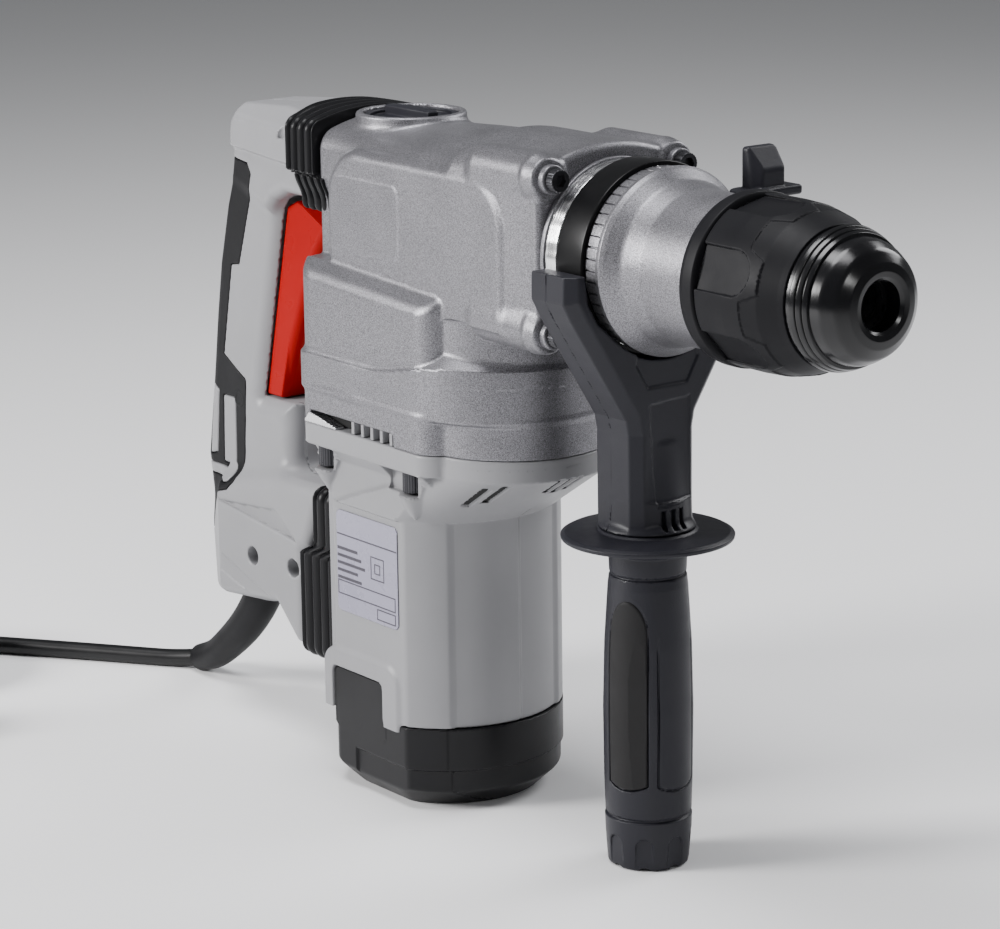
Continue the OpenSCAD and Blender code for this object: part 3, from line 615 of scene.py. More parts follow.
def studio():
    half = 3.0
    mesh = bpy.data.meshes.new("floor")
    corners = [(-half, -half, 0), (half, -half, 0), (half, half, 0), (-half, half, 0)]
    mesh.from_pydata(corners, [], [(0, 1, 2, 3)])
    floor = add("floor", mesh)
    floor.location = (-0.25, 0, FLOOR_Z * MM)
    pale = Mat("floor_pale", (0.95, 0.95, 0.95), 0.8)
    pale.colour(pale.tint(pale.noise(6, 3.0), (0.945, 0.945, 0.95), (0.955, 0.955, 0.96)))
    mesh.materials.append(pale.mat)
    world = bpy.data.worlds.new("studio")
    bpy.context.scene.world = world
    world.use_nodes = True
    sky = world.node_tree.nodes["Background"].inputs
    sky["Color"].default_value = (0.95, 0.97, 1.0, 1)
    sky["Strength"].default_value = 0.16
    target = Vector((-0.22, 0, -0.08))
    for name, place_at, size, power, tone in (
            ("key", (-0.80, -1.15, 0.42), 0.5, 24, (1, 0.99, 0.99)),
            ("top", (-0.35, -0.25, 1.35), 0.8, 20, (0.98, 0.98, 1.0)),
            ("front", (1.2, -0.35, 0.7), 0.3, 2.5, (1, 1, 1)),
            ("back", (-0.1, 1.3, 0.8), 0.9, 14, (0.98, 0.98, 1.0))):
        data = bpy.data.lights.new(name, "AREA")
        data.shape, data.size, data.energy, data.color = "DISK", size, power, tone
        ob = add(name, data)
        ob.location = place_at
        ob.rotation_euler = (target - Vector(place_at)).to_track_quat("-Z", "Y").to_euler()


studio()


# --- gear case and neck ---

FRONT_SCREWS = [(cy, cz) for cy in (-30.9, 30.9) for cz in (30, -29)]
NOSE_X, SIDE_Y = -214, 46


def nose_plan(x, y):
    return dist(x - NOSE_X, y) - 39.6


def case_plan(x, y):
    """Lower case seen from above: flat sides run into an oval nose."""
    oval = (dist(maximum(x + 222, 0) / 48.0, y / SIDE_Y) - 1) * 44
    return corner(oval, REAR_X - x, 9.5)


def flange_plan(x, y):
    """The joint between case and motor: the flat sides turn in and meet the nose in a crease."""
    side = corner(abs(y) - SIDE_Y, slab(x, REAR_X, NOSE_X + 8), 12)
    return join(nose_plan(x, y), side, 1.5)


def case_upper_plan(x, y):
    """The bulge above the ledge, with an upright crease where its corner meets the nose."""
    side = corner(abs(y) - SIDE_Y + 1.1, slab(x, REAR_X, NOSE_X + 8), 12)
    return join(dist(x - NOSE_X, y) - 38.8, side, 0.8)


def barrel_body(x, y, z):
    """The upper case: a crowned block round the cylinder, with side panels and screw bosses."""
    a = abs(y)
    top = 36.4 + 1.6 * smooth((x + 262) / 40) + 2.8 * smooth((x + 208) / 5)
    crown = top - 9.0 * (y / 36) ** 2
    half = 30.8 + 6.6 * smooth((x + 296) / 84) - 1.4 * smooth((x + 180) / 28)
    core = corner(a - half, maximum((z - crown) * 0.93, -31.0 - z), 6.0)
    core = corner(core, slab(x, REAR_X, FRONT_X), 3.0)
    panel = corner(corner(slab(x, -286.5, -168), slab(z, -70, 28), 21), a - 38.3, 4.6)
    plaque = corner(slab(x, -284, -236), slab(z, -13, 17), 4)
    panel = panel - 0.35 * smooth((1.0 - plaque) / 2.0) * (a > 30)
    body = join(core, maximum(panel, -30.5 - z), 1.2)
    for cz in (30.4, -28.6):
        boss = corner(dist(a - 29.6, z - cz) - 8.8, slab(x, -194, FRONT_X), 7.0)
        body = join(body, boss, 3.0)
    return body


def lower_case(x, y, z):
    """The gear space: a sloping shoulder, the ledge below it and the flange."""
    a = abs(y)
    shoulder = (z + 19.6 + 0.058 * (x + 272) + 0.78 * (a - 38.3)) * 0.79
    lid = where(a > 38.3, shoulder, z + 19)
    ledge = -51 + 7.0 * smooth((x + 250) / 50)
    upper = corner(case_upper_plan(x, y), lid, 2.6)
    upper = maximum(upper, -60 - z)
    fine_step = 0.45 * smooth((-56.8 - z) / 0.7) * smooth((x + 262) / 10)
    undercut = (case_plan(x, y) + 5.5 + (z - ledge) * 0.9) * 0.74
    wide = corner(case_plan(x, y) + fine_step, slab(z, -72, ledge), 1.3)
    wide = maximum(wide, undercut)
    flange = corner(flange_plan(x, y) + 0.3, slab(z, CASE_Z, -70), 0.8)
    return join(join(upper, wide, 1.0), flange, 1.6)


def gear_case(x, y, z):
    d = join(barrel_body(x, y, z), lower_case(x, y, z), 1.6)
    ring = disc(x, y, z, KNOB_X, 0, 22.6, 28, 39.0, 1.2)
    d = join(d, ring, 3.0)
    for cy, cz in FRONT_SCREWS:
        d = join(d, disc(y, z, x, cy, cz, 8.0, -156, FRONT_X + 0.3, 1.2), 2.5)
    d = cut(d, disc(x, y, z, KNOB_X, 0, 19.7, 34.6, 60, 0.3), 0.5)
    d = cut(d, disc(y, z, x, 0, 0, 30.0, -156, -140, 0.2))
    d = cut(d, disc(y, z, x, 0, 0, 18.5, -272, -150, 0.2))
    vent = box(x, y, z, (-290, -60, CASE_Z - 4), (-232, -39.5, -80.4), 0.6)
    d = cut(d, vent, 0.4)
    return maximum(d, CASE_Z - z)


def build_gear_case():
    shape("gear_case", gear_case, (-302, -47, -86), (-148, 47, 42), 1.05, SILVER, "housing",
          "gear_housing")

    def lip(x, y, z):
        pts = [(-294, -84.6), (-291, -81.4), (-286, -82.0), (-272, -85.0), (-272, -85.9), (-294, -85.9)]
        return corner(outline(x, z, pts), slab(y, -45.9, -41.5), 0.2)
    shape("machined_lip", lip, (-302, -46.4, -86.5), (-271, -41, -80.5), 0.35, BRIGHT, "housing")

    def fins(x, y, z):
        d = box(x, y, z, (-259, -41.6, -85.9), (-233, -40.2, -80.6))
        for i in range(5):
            x0 = -262 + i * 6.6
            d = minimum(d, box(x, y, z, (x0, -44.8, -85.9), (x0 + 2.0, -40.5, -80.6), 0.3))
        return d
    shape("vent_fins", fins, (-263, -46, -86.5), (-231, -39, -79.5), 0.4, GREY, "housing")

    # Painted shade: a dark box behind the fins stands for the shadowed inside of the vent
    def hollow(x, y, z):
        return box(x, y, z, (-289, -40.1, -85.9), (-232.5, -38.9, -80.6))
    shape("vent_painted_shade", hollow, (-291, -41, -87), (-231, -38, -79.5), 0.5, SHADE_FILL, "housing")


def build_neck():
    seat = rounded([(-149, 29.2), (-149, 34.7), (-140, 34.7, 0.5), (-140, 33.6), (-122, 33.6), (-122, 29.2)])
    lines = lambda rad, phi: 0.08 * np.sin(phi * 37) * (rad > 33)
    revolve("machined_seat", seat, "X", BRIGHT, "housing", "", 288, lines)
    ring = rounded([(-122.3, 29), (-122.3, 34.9, 0.4), (-115.6, 34.9, 0.3), (-115.6, 29)])
    ring = [p for a, b in zip(ring, ring[1:] + ring[:1]) for p in (a, tuple((np.array(a) + b) / 2))]
    teeth = lambda rad, phi: where((rad > 33.5) & ((phi * 50 / (2 * np.pi)) % 1 < 0.12), -0.9, 0.0)
    revolve("tick_ring", ring, "X", SILVER, "housing", "", 50 * 16, teeth)
    cone = rounded([(-115.7, 20), (-115.7, 35.6, 0.4), (-113.6, 35.9, 0.8), (-111.8, 34.9, 2.0),
                    (-106.5, 31.2, 7), (-98, 29.3, 10), (-86, 29.0), (-75, 28.9, 1), (-74, 28), (-74, 20)], 9)
    revolve("neck_cone", cone, "X", SILVER, "housing", "front_neck", 200)

    def ears(x, y, z):
        d = 1e3
        for cy, cz in FRONT_SCREWS:
            d = minimum(d, disc(y, z, x, cy, cz, 5.6, FRONT_X, -145.4, 0.6))
        rim = corner(dist(y, z) - 35.5, slab(x, FRONT_X, -146.6), 0.5)
        return join(d, maximum(rim, 33.5 - dist(y, z)), 2.0)
    shape("neck_ears", ears, (-150, -38, -36), (-145, 38, 37), 0.6, SILVER, "housing")


def socket_screw(name, at, axis, head_r, head_l, mat, body, node=""):
    """Cap head with a hexagon socket and a knurled rim, its axis X or down along Z."""
    profile = rounded([(-2, 0.01), (-2, head_r), (head_l, head_r, 0.5), (head_l, head_r * 0.55, 0.2),
                       (head_l - 2.4, head_r * 0.52), (head_l - 2.4, 0.01)])

    def knurl(rad, phi):
        rim = 0.10 * np.cos(phi * 24) * (rad > head_r * 0.97)
        hexagon = (1 / np.cos((phi % (math.pi / 3)) - math.pi / 6) - 1) * 0.6 * rad
        return rim + where((rad < head_r * 0.6) & (rad > 0.5), hexagon, 0)
    if axis == "Z":
        profile = [(-along, r) for along, r in profile]
    return revolve(name, profile, axis, mat, body, node, 96, knurl, at)


def build_front_screws():
    for number, (cy, cz) in enumerate(FRONT_SCREWS):
        node = "front_screws" if number == 0 else ""
        socket_screw("front_screw_%d" % number, (-145.5, cy, cz), "X", 4.3, 4.2, OXIDE, "housing", node)


def build_clamp_band():
    band = rounded([(-137.4, 34.9), (-137.4, 36.7, 0.7), (-122.5, 36.7, 0.7), (-122.5, 34.9)])
    revolve("band_strip", band, "X", BAND, "side_handle", "clamp_band", 160)


def build_knob():
    def knob(x, y, z):
        base = disc(x, y, z, KNOB_X, 0, 19.0, 33.8, 36.2, 0.5)
        rim = maximum(disc(x, y, z, KNOB_X, 0, 19.0, 33.8, 37.8, 0.5), 16.6 - dist(x - KNOB_X, y))
        grip = box(x, y, z, (KNOB_X - 16, -3.2, 34), (KNOB_X + 16, 3.2, 40.8), 1.4)
        grip = grip + 0.3 * (1 - np.cos((x - KNOB_X) / 16 * np.pi))
        d = join(join(base, rim, 0.6), grip, 0.9)
        pointer = box(x, y, z, (KNOB_X + 10, -1, 40.2), (KNOB_X + 15, 1, 41.4), 0.3)
        return cut(d, pointer, 0.1)
    shape("knob_disc", knob, (-299, -20, 33), (-259, 20, 42), 0.5, BLACK, "mode_knob", "mode_knob")


# --- chuck ---

def build_chuck():
    dome = rounded([(-8, 9.05), (-1.4, 9.05, 0.5), (-0.4, 10.4, 0.8), (0, 12.4, 1.4), (-0.6, 15.4, 2),
                    (-3.4, 19.6, 5), (-8.6, 22.3, 7), (-13.0, 23.2), (-13.1, 24.2, 0.3), (-14.9, 24.9, 0.5),
                    (-15.2, 24.2, 0.2), (-15.5, 25.2, 0.4), (-17.3, 25.8, 0.5), (-17.6, 25.1, 0.2),
                    (-17.9, 26.0, 0.4), (-20.1, 26.5, 0.6), (-20.5, 25.0, 0.3), (-23.0, 25.2),
                    (-23.0, 18), (-8, 18)], 7)
    revolve("dust_dome", dome, "X", GLOSS, "tool_holder", "dust_cap", 200)

    def sleeve(x, y, z):
        """Six sunk tongues round the sleeve, and a zigzag step in front of them."""
        r = dist(y, z)
        pts = rounded([(-22.6, 22), (-22.6, 26.3, 0.7), (-25.5, 27.2, 2), (-33.4, 30.0, 8), (-41, 31.4, 12),
                       (-50, 31.8), (-64.4, 31.8, 0.4), (-64.4, 22)], 5)
        d = outline(x, r, pts)
        turn = math.radians(163)
        phi, local = spin(y * math.cos(turn) + z * math.sin(turn), z * math.cos(turn) - y * math.sin(turn), 6)
        t = r * np.sin(local)
        reach = r * np.cos(local)
        tongue = where(x < -46, abs(t) - 8.2, dist(x + 46, t) - 8.2)
        sunk = 29.5 + 0.35 * smooth((x + 60) / 22)
        d = cut(d, maximum(tongue, sunk - reach), 0.6)
        share = abs(np.degrees(local))
        from_deg, to_deg, drop = 11.5, 18.0, 8.0
        line = -33.4 - drop * np.clip((share - from_deg) / (to_deg - from_deg), 0, 1)
        slant = 1 / np.sqrt(1 + (drop / 3.4) ** 2 * ((share > from_deg) & (share < to_deg)))
        d = d + 0.5 * smooth((x - line) * slant / 0.5)
        scallop = maximum(dist((x + 65.5) * 1.6, t) - 7.2, 30.4 - reach)
        return cut(d, scallop, 0.3)
    shape("sleeve_shell", sleeve, (-65, -32, -32), (-22, 32, 32), 0.62, SLEEVE, "lock_sleeve",
          "lock_sleeve")
    collar = rounded([(-72.4, 29.6), (-72.4, 32.0, 0.9), (-70, 32.5, 1), (-65.2, 32.5, 0.9), (-64.6, 31),
                      (-64.6, 29.6)])
    revolve("collar_ring", collar, "X", SLEEVE, "lock_sleeve", "rear_collar", 160)


# --- motor ---

FLANGE_SCREW_X, FLANGE_SCREW_Y = (-288, -229), 38.8


def motor_plan(x, y, radius=MOTOR_R, flat=40.0):
    return both(dist(x - MOTOR_X, y) - radius, abs(y) - flat, 0.8)


def funnel_wall(x, y, z, inward=0.0):
    """The cone between the flange and the motor tube, which moves back as it falls."""
    fall = np.clip((-95 - z) / 23, 0, 1)
    return (dist(x - NOSE_X + 45 * fall, y) - (39.4 + 7 * fall) + inward) * 0.62


def motor_shell(x, y, z):
    a = abs(y)
    front_step = 1.2 * smooth((x + 221.5) / 0.9)
    body = corner(motor_plan(x, y) + front_step, slab(z, CAP_Z, -90), 0.6)
    flange = corner(flange_plan(x, y) + 0.2, slab(z, -94.8, CASE_Z), 0.8)
    funnel = maximum(funnel_wall(x, y, z), maximum(a - 41.5, slab(z, -118, -90)))
    side_slope = (flange_plan(x, y) + 0.4 + (-94.8 - z)) * 0.7071
    side_slope = maximum(side_slope, maximum(x - NOSE_X, slab(z, -103, -94.6)))
    d = join(join(body, flange, 1.0), join(funnel, side_slope, 1.0), 0.8)
    rib = corner(corner(slab(x, -306.0, -284), a - 28.2, 3), slab(z, -201, -113), 4)
    d = join(d, rib, 3.5)
    for screw_x in FLANGE_SCREW_X:
        u = x - screw_x - 1
        cone = (dist(u - 0.6, a - 38.6) - 0.62 * (z + 116.5)) * 0.85
        d = join(d, maximum(cone, z + 100), 1.0)
        shelf = FLANGE_SCREW_Y - a + 0.35 * maximum(u, 0)
        opening = minimum(dist(u, a - FLANGE_SCREW_Y) - 5.8, maximum(abs(u + 1) - 12.8, shelf))
        d = cut(d, corner(opening, slab(z, -105.0, -95.0), 0.5), 0.5)
    for y0, z0, z1 in ((-29, -107.8, -97.5), (-24.3, -105.5, -96.3), (24.3, -105.5, -96.3),
                       (29, -107.8, -97.5), (-5, -101.8, -94.6), (-0.4, -102.6, -94.6), (4.2, -101.8, -94.6)):
        slot = maximum(abs(y - y0) - 1.35, slab(z, z0, z1))
        d = cut(d, maximum(slot, -x - 208), 0.5)
    recess = corner(slab(x, -285.5, -249.5), slab(z, -214, -188.6), 3)
    brush_rise = corner(slab(x, -292, -239), slab(z, -230, -181), 8)
    d = join(d, corner(brush_rise, slab(a, 34, 41.2), 1.5), 3.0)
    d = cut(d, maximum(recess, y + 38.6), 0.4)
    seam = maximum(abs(y - 2.5) - 0.25, MOTOR_X - x)
    d = where((z < -113) & (z > -206), maximum(d, -maximum(seam, -(d + 0.35))), d)
    return d


def end_cap(x, y, z):
    plan = motor_plan(x, y, MOTOR_R + 0.15, 40.3)
    low_step = 1.1 * smooth((-221.5 - z) / 0.8) * smooth((x + 271) / 1.0)
    body = maximum(plan + low_step, slab(z, FLOOR_Z, CAP_Z - 0.3))
    chamfer = (dist(x - MOTOR_X, y * 1.02) - 46.4 + 1.1 * (-230.6 - z)) * 0.67
    sides = (abs(y) - 40.3 + 0.95 * (-231.0 - z)) * 0.72
    body = both(both(body, chamfer, 0.8), sides, 0.8)
    tab = corner(corner(slab(x, -285.2, -248.8), slab(z, -215, -188.9), 2.8), slab(y, -40.4, -37.0), 0.4)
    d = join(body, tab, 0.3)
    for sx in (-1, 1):
        d = cut(d, disc(x, y, z, MOTOR_X + sx * 28, 0, 4.2, FLOOR_Z - 2, -232, 0.3))
    for k in range(-3, 4):
        slit_x = MOTOR_X + k * 7
        slit = box(x, y, z, (slit_x - 1.3, -20, FLOOR_Z - 2), (slit_x + 1.3, 20, FLOOR_Z + 2.2), 0.8)
        d = cut(d, slit, 0.3)
    crease = maximum(abs(x + 221.6) - 0.3, y)
    return maximum(d, -maximum(crease, -(d + 0.3)))


def slot_shadows(x, y, z):
    """Painted shade: a dark fill standing for the shadowed inside of the housing, seen through the slots in
    the funnel.
    """
    inner = funnel_wall(x, y, z, 1.6)
    a = abs(y)
    near = minimum(abs(a - 26.6) - 4.2, a - 6.5)
    return maximum(maximum(inner, -x - 209), maximum(near, slab(z, -107.2, -96.0)))


def build_motor():
    shape("slot_shadow", slot_shadows, (-212, -34, -109), (-176, 34, -94), 0.6, SHADE_FILL, "housing")

    def seat_plate(x, y, z):
        return maximum(flange_plan(x, y) + 9, slab(z, -85, -80.2))
    shape("seat_plate", seat_plate, (-300, -44, -86), (-176, 44, -79), 1.0, BRIGHT, "housing",
          "bearing_plate")
    shape("motor_shell", motor_shell, (-307, -47, -206), (-174, 47, -85), 0.95, GREY, "housing",
          "motor_housing")
    shape("end_cap_shell", end_cap, (-307, -48, -240), (-211, 48, -188), 0.8, CAP_BLACK, "housing",
          "motor_end_cap")
    places = [(sx + 1, sy * FLANGE_SCREW_Y, -97) for sx in FLANGE_SCREW_X for sy in (-1, 1)]
    for number, at in enumerate(places):
        node = "flange_screws" if number == 0 else ""
        socket_screw("flange_screw_%d" % number, at, "Z", 4.3, 7.2, OXIDE, "housing", node)


def build_label():
    x0, x1, z0, z1 = -281, -238, -164, -121

    def sheet(x, y, z):
        return corner(corner(slab(x, x0, x1), slab(z, z0, z1), 3), slab(y, -40.5, -39.9), 0.1)
    shape("label_sheet", sheet, (x0, -41.2, z0), (x1, -39.2, z1), 0.42, LABEL, "housing", "rating_label")

    def frame_lines(x, y, z):
        face = slab(y, -40.62, -40.3)
        d = box(x, y, z, (x0 + 0.6, -40.62, -131.6), (x1 - 0.6, -40.3, -131.0))
        frames = ((-256.5, -247.6, -145.8, -136.6), (-253.9, -250.3, -143.2, -139.4),
                  (-280.0, -240.0, -156.6, -151.0), (-252.5, -240.0, -162.2, -158.0))
        for left, right, bottom, top in frames:
            edge = abs(maximum(slab(x, left, right), slab(z, bottom, top))) - 0.24
            d = minimum(d, maximum(edge, face))
        for i in range(5):
            row = maximum(abs(z + 137.2 + 3.1 * i) - 0.62, slab(x, -280.2, -266 + 2.6 * (i % 3)))
            d = minimum(d, maximum(row, face))
        return d
    shape("label_lines", frame_lines, (x0, -40.9, z0), (x1, -40.1, z1), 0.14, INK, "housing")


# --- side handle ---

GRIP_PANELS = (-70, 110)


def yoke(x, y, z):
    """The fork that holds the clamp band, tapered down to a round foot on the guard."""
    half = [(-60, -30), (0, -30), (26, -26), (33, -20), (37.6, -12), (38.8, -1.5), (46, -1.5), (46.2, -12),
            (42.5, -19), (16.8, -60), (15.6, -66), (15.4, -104), (-60, -104)]
    a = abs(y)
    d = outline(a, z, half)
    front, back = -117.0, -140.6
    body = corner(d, slab(x, back, front), 0.7)
    outer_edge = outline(a, z, [(-60, 30), (46, 30), (46.2, -12), (42.5, -19), (16.8, -60), (15.6, -66),
                                (15.4, -140), (-60, -140)])
    body = both(body, (outer_edge + (x - front) + 4.2) * 0.7071, 0.5)
    foot = corner(dist(x - SIDE_X, y) - 15.5 + 0.14 * (z + 100), slab(z, -104.3, -70), 1.0)
    body = join(maximum(body, -104.3 - z), foot, 3.0)
    flare = corner(dist(x - SIDE_X, y) - (15.4 + 3.2 * smooth((-99.6 - z) / 4.6)), slab(z, -104.3, -92), 0.4)
    body = join(body, flare, 1.5)
    body = cut(body, disc(y, z, x, 0, 0, 36.95, -160, -100), 0.4)
    arm = box(x, y, z, (-140.0, 40, -3), (-118.2, 64, 16.2), 3.0)
    body = join(body, arm, 1.5)
    body = cut(body, disc(y, z, x, 52, 9, 4.15, -150, -110, 0.1), 0.3)
    trapezoid = outline(y, z, [(-15, -38), (-9.5, -47.6), (9.5, -47.6), (15, -38), (12, -20), (-12, -20)])
    window = outline(y, z, [(-8.4, -54), (10.6, -53), (11.4, -92), (-6.4, -94)])
    body = body + 0.55 * smooth((0.5 - minimum(trapezoid, window)) / 1.0) * (x > front - 6)
    for k in range(3):
        left, deep = -5.5 + 4.2 * k, front + 1.2 - 0.5 * abs(k - 1)
        groove = box(x, y, z, (deep, left, -103.0), (-105, left + 2.1, -95.5), 0.3)
        body = cut(body, groove, 0.4)
    parting = maximum(abs(x + 131.5) - 0.2, -(body + 0.25))
    return maximum(body, -parting)


def grip_body(x, y, z):
    """Guard and grip, turned as one profile, with sunk panels, rims and flutes."""
    pts = rounded([(-104.6, 0), (-104.6, 18.4, 0.4), (-105.6, 19.4, 0.8), (-106.2, 31.6, 0.6),
                   (-107.2, 33.5, 0.5), (-108.7, 33.3, 0.8), (-110.2, 28, 8), (-112.2, 18.0, 3),
                   (-114.2, 15.2, 1.2), (-121.6, 14.9), (-121.9, 14.2), (-122.7, 14.2), (-123.0, 15.0, 0.3),
                   (-127, 15.5, 4), (-150, 16.9, 20), (-176, 17.5, 20), (-204, 17.2, 10), (-217.6, 16.8),
                   (-218, 16.1), (-218.8, 16.1), (-219.2, 17.0, 0.3),
                   (-230, 16.6, 5), (-238.9, 15.9, 1.6), (-238.9, 0)], 4)
    cx = x - SIDE_X
    r = dist(cx, y)
    d = outline(z, r, pts)
    ang = np.arctan2(y, cx)
    for deg in GRIP_PANELS:
        d = cut(d, maximum(insert_mask(ang, z, deg), 15.9 - r), 0.4)
    for deg in (5, 185):
        rim = abs(insert_mask(ang, z, deg)) - 0.35
        d = cut(d, maximum(rim, 16.6 - r), 0.4)
    turn, local = spin(cx, y, 8)
    t = r * np.sin(local)
    flute = where(z > -229, dist(z + 229, t) - 3.3, abs(t) - 3.3)
    d = cut(d, maximum(flute, 15.7 - r * np.cos(local)), 0.5)
    return maximum(d, 1.1 * np.cos(turn * 8) - z - 238.8)


def panel_arc(ang, deg):
    """Distance along the grip's surface from the middle of the panel at deg."""
    return ((ang - math.radians(deg) + np.pi) % (2 * np.pi) - np.pi) * 17


def insert_mask(ang, z, deg, grow=0.0):
    """Long panel with a pointed arch on top and a bowed lower end."""
    t = panel_arc(ang, deg)
    half = 9.2 + grow
    arch = maximum(abs(t) - half, dist(maximum(z + 144, 0) * 0.66, t) - half)
    low = -206.5 + 2.2 * (t / 9) ** 2
    return maximum(arch, low - z - grow)


def grip_insert(x, y, z):
    cx = x - SIDE_X
    r = dist(cx, y)
    ang = np.arctan2(y, cx)
    swell = 16.2 + 1.25 * smooth((-124 - z) / 40) - 0.35 * smooth((-180 - z) / 30)
    d = 1e3
    for deg in GRIP_PANELS:
        pad = corner(insert_mask(ang, z, deg, -0.45), r - swell, 0.9)
        facet = r * np.cos(panel_arc(ang, deg) / 17 - 0.32) - 16.95
        d = minimum(d, maximum(maximum(pad, facet), 15.2 - r))
    return d


def build_side_handle():
    shape("yoke_shell", yoke, (-149, -47, -105), (-109, 66, 18), 0.75, BLACK, "side_handle", "side_yoke")
    shape("grip_shell", grip_body, (-163, -34, -240), (-95, 34, -104), 0.68, BLACK, "side_grip",
          "side_grip")
    shape("insert_pads", grip_insert, (-147.5, -18.5, -209), (-110.5, 18.5, -127), 0.6, INSERT, "side_grip",
          "grip_insert")

    def wing(x, y, z):
        base = disc(x, y, z, SIDE_X, 52, 8.6, 16.4, 19.4, 0.7)
        blade = box(x, y, z, (-132.5, 49.2, 17.0), (-122.6, 63.6, 36.0), 1.6)
        lean = (x + 123.4 + 0.72 * (z - 28.6)) * 0.81
        blade = both(blade, lean, 0.8)
        flank = (48.4 - y + 0.62 * (x + 127.5) + 0.12 * (z - 20)) * 0.84
        blade = both(blade, flank, 0.8)
        foot = box(x, y, z, (-134, 50, 16.6), (-121, 71, 20.5), 1.2)
        return join(join(base, blade, 1.0), foot, 1.0)
    shape("wing_head", wing, (-139, 42, 15.5), (-117, 72, 37), 0.5, BLACK, "wing_screw", "wing_screw")


# --- rear handle ---

# Side views of the handle's top arm, grip and lower arm, of its overmould and of the two windows in it
TOP_ARM = [(-314, 35), (-342, 36), (-382, 33), (-390, 25.5), (-392, 13), (-392, -2), (-358, -11),
           (-350, -4.5), (-338, 0), (-316, 1), (-314, 12)]
GRIP = [(-389, 24), (-390.5, 8), (-398, -12), (-405, -38), (-409.3, -62), (-413.5, -90), (-419.5, -126),
        (-414.5, -160), (-410, -188), (-374, -186), (-349, -128), (-348, -92), (-371, -93), (-352, -8),
        (-345, 6)]
LOW_ARM = [(-413, -188), (-417, -158), (-398, -134), (-352, -123.5), (-313, -122), (-321, -136),
           (-327.5, -151), (-331.5, -154), (-332, -195.5), (-338.5, -195.5), (-354, -181), (-396, -185.5)]
RUBBER = [(-430, 9), (-388, 9), (-374.5, 8), (-371.5, 4), (-385.5, -37), (-391.5, -38), (-399.8, -79),
          (-389, -85), (-383, -88), (-386, -133), (-390, -137), (-404, -141), (-409.5, -159), (-430, -162)]
WINDOW_A = [(-409.8, -94), (-405, -96), (-407.6, -124), (-412.6, -125.4)]
WINDOW_B = [(-400.4, -98), (-392.2, -98), (-392.6, -127), (-401.2, -127)]
HANDLE_SCREWS = ((-370, -163), (-339, -162))
TRIGGER_HALF = 12.6


def handle_solid(x, y, z):
    a = abs(y)
    arm_half = 17.2 + 0.19 * (x + 392)
    lower_in = 2.6 * smooth((15.0 - z) / 2.2)
    top = corner(outline(x, z, TOP_ARM), a - arm_half + lower_in, 5.5)
    facet = (z - 35.2 + 0.95 * (a - arm_half + 8.0)) * 0.72
    top = both(top, facet, 0.9)
    groove = dist(a - arm_half - 0.3, z - 28.2 - 0.02 * (x + 394)) - 1.5
    top = cut(top, maximum(groove, slab(x, -392, -331)), 0.8)
    hook = dist(a - arm_half - 0.2, (x + 330) * 0.8 - 0.42 * (z - 30), 0.12 * (z - 30)) - 3.0
    top = cut(top, maximum(hook, slab(z, 24, 34)), 0.6)
    grip = corner(outline(x, z, GRIP), a - 17.0, 8.5)
    low_half = 24.3 - 0.64 * maximum(0, -397 - x)
    low = corner(outline(x, z, LOW_ARM), a - low_half, 5.5)
    d = join(top, grip, 3.5)
    return join(d, low, 9.0)


def rubber_region(x, z):
    d = outline(x, z, RUBBER)
    windows = join(outline(x, z, WINDOW_A) - 0.6, outline(x, z, WINDOW_B) - 0.8)
    branch = corner(slab(x, -440, -394), slab(z, -134.5, -129.5))
    knob_end = minimum(dist(x + 394, z + 130.5) - 4.6, branch)
    return cut(d, join(windows, knob_end))


def trigger_room(x, y, z):
    """The opening in the handle in which the trigger travels."""
    pts = [(-380, -93.6), (-360, -6.5), (-346, -3), (-318, -3), (-318, -93.6)]
    return corner(outline(x, z, pts), abs(y) - TRIGGER_HALF - 0.15, 1.0)


def handle_shell(side):
    def field(x, y, z):
        d = handle_solid(x, y, z)
        d = cut(d, trigger_room(x, y, z), 1.0)
        d = cut(d, rubber_region(x, z) - 0.25, 0.8)
        for sx, sz in HANDLE_SCREWS:
            d = cut(d, disc(x, z, y * side, sx, sz, 4.1, 12, 60, 0.2), 0.6)
        dent = outline(x, z, [(-398, -143), (-336, -150), (-352, -139)])
        d = cut(d, maximum(dent + 0.3, 22.4 + 0.12 * (z + 150) - abs(y)), 1.6)
        low_step = outline(x, z, [(-405, -172), (-352, -187), (-360, -178), (-402, -165)])
        d = cut(d, maximum(low_step + 0.2, 23.7 - abs(y)), 1.0)
        front_seam = maximum(abs(abs(y) - 9.0) - 0.3, maximum(-x - 352, z + 88))
        d = where(z < -86, maximum(d, -maximum(front_seam, -(d + 0.4))), d)
        return maximum(d, 0.06 - y * side)
    return field


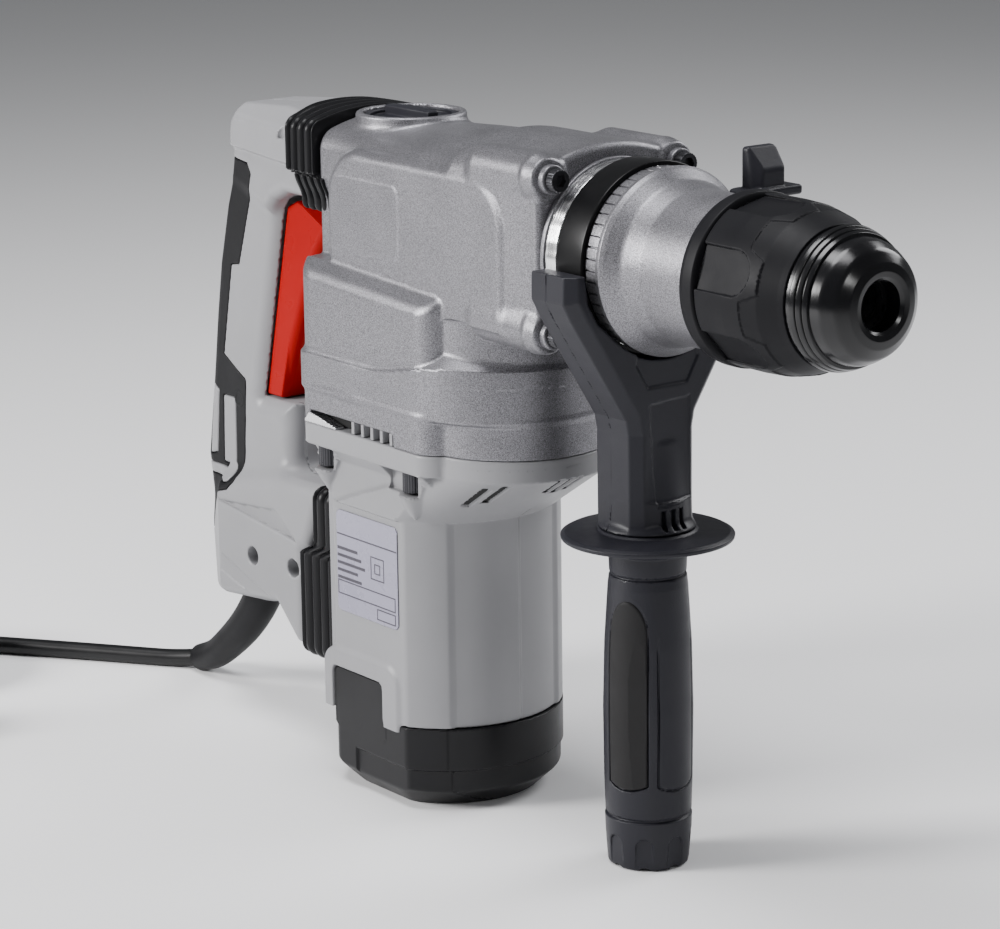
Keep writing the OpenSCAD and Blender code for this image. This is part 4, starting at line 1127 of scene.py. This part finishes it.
def build_handle():
    for side, node in ((-1, "handle_right"), (1, "handle_left")):
        lo = (-423, -31 if side < 0 else 0, -196.5)
        hi = (-312, 0 if side < 0 else 31, 37)
        shape(node + "_shell", handle_shell(side), lo, hi, 0.95, GREY, "rear_handle", node)

    def rubber(x, y, z):
        solid = handle_solid(x, y, z)
        d = both(solid + 0.1, rubber_region(x, z), 0.5)
        return maximum(d, maximum(solid, -(solid + 4.0)))
    shape("overmould", rubber, (-423, -29, -165), (-368, 29, 11), 0.8, SOFT, "rear_handle", "grip_rubber")
    plugs = [(-398.5, -55.4, 14.4, 3.0), (-388.4, -97.1, 16.1, 4.0)]
    for i, (px, pz, face_y, r) in enumerate(plugs):
        dish = rounded([(0, 0.01), (0, r), (0.9, r, 0.4), (0.9, r * 0.62, 0.2), (0.2, r * 0.5), (0.2, 0.01)])
        for side, word in ((-1, "right"), (1, "left")):
            pts = [(side * (face_y + p[0]), p[1]) for p in dish]
            revolve("grip_plug_%d_%s" % (i, word), pts, "Y", SOFT, "rear_handle", "", 48, None, (px, 0, pz))
    head = rounded([(-4, 0.01), (-4, 3.7), (0, 3.7, 0.5), (0, 1.9), (-1.6, 1.7), (-1.6, 0.01)])
    pts = [(-(p[0] + 14.0), p[1]) for p in head]
    for i, (sx, sz) in enumerate(HANDLE_SCREWS):
        node = "handle_screws" if i == 0 else ""
        revolve("handle_screw_%d" % i, pts, "Y", OXIDE, "rear_handle", node, 48, None, (sx, 0, sz))


def build_trigger():
    def trigger(x, y, z):
        pts = [(-372.5, -92.8), (-353, -8.5), (-344, -4.5), (-322, -2.5), (-322, -14), (-334.4, -29.8),
               (-344.4, -53), (-354.5, -76.5), (-361, -92.8)]
        a = abs(y)
        edge = 1.0 + 3.5 * smooth((x + 340.5 - 0.23 * z) / 2)
        d = corner(outline(x, z, pts), a - TRIGGER_HALF, edge)
        top_facet = (z + 8.4 + 0.467 * (x + 339) + 0.5 * (a - TRIGGER_HALF)) * 0.83
        return both(d, top_facet, 0.6)
    shape("trigger_shell", trigger, (-374, -13, -94), (-322, 13, -3), 0.7, RED, "trigger", "trigger")


def bellows_ribs(u, period, depth):
    """Rounded ribs with narrow valleys."""
    wave = abs(np.cos(u * np.pi / period))
    return depth * (1 - wave ** 0.55)


def build_bellows():
    def upper(x, y, z):
        a = abs(y)
        shift = 6.0 * smooth((13.4 - z) / 1.8) + 4.5 * smooth((12.5 - z) / 10)
        back = -323.6 - 5.5 * smooth((31 - a) / 20)
        u = (x - shift - back) / (-303.6 - back)
        ribs = bellows_ribs(u, 0.25, 2.3)
        half = 32.4 - 0.7 * smooth((12 - z) / 12)
        high = 39.3 - 5.6 * (a / 33) ** 2
        skin = corner(a - half, maximum((z - high) * 0.96, -2.5 - z), 3.6) + ribs
        inner = corner(a - half + 5.5, maximum(z - high + 6.5, -1.0 - z), 3)
        ends = (abs(u - 0.5) - 0.5) * 19
        return both(cut(skin, inner), ends * 0.8, 0.6)
    ob = shape("upper_boot", upper, (-331, -34, -4), (-291, 34, 41), 0.6, BELLOWS, "rear_handle")
    across_joint(ob, "upper_bellows")

    def lower(x, y, z):
        a = abs(y)
        shift = 10.5 * smooth((z + 152.5) / 7)
        u = x - shift
        ribs = bellows_ribs(u + 329.5, 5.9, 2.2)
        skin = corner(a - 27.7, maximum(z + 121.5, -197.5 - z), 6.0) + ribs
        inner = corner(a - 22.2, slab(z, -191, -127), 4)
        return both(cut(skin, inner), slab(x, -328.6 + shift, -299.5 + 0.2 * shift), 0.8)
    ob = shape("lower_boot", lower, (-330, -35, -199), (-296, 35, -120), 0.66, BELLOWS, "rear_handle")
    across_joint(ob, "lower_bellows")


def across_joint(ob, node):
    """Leaves a bellows in world space, on no body, between the handle and the housing, in place of its CAD
    node.
    """
    ob.parent = None
    ob.matrix_world = Matrix.Identity(4)
    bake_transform(ob)
    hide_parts(node)


def build_relief():
    radii = [8.6, 8.6, 8.4, 8.0, 7.4, 6.8, 6.2]
    tube("cord_boot", through(RELIEF, 8), radii, SOFT, "rear_handle", "strain_relief", 40)


# --- build ---

build_gear_case()
build_neck()
build_front_screws()
build_clamp_band()
build_knob()
build_chuck()
build_motor()
build_label()
build_side_handle()
build_handle()
build_trigger()
build_bellows()
build_relief()
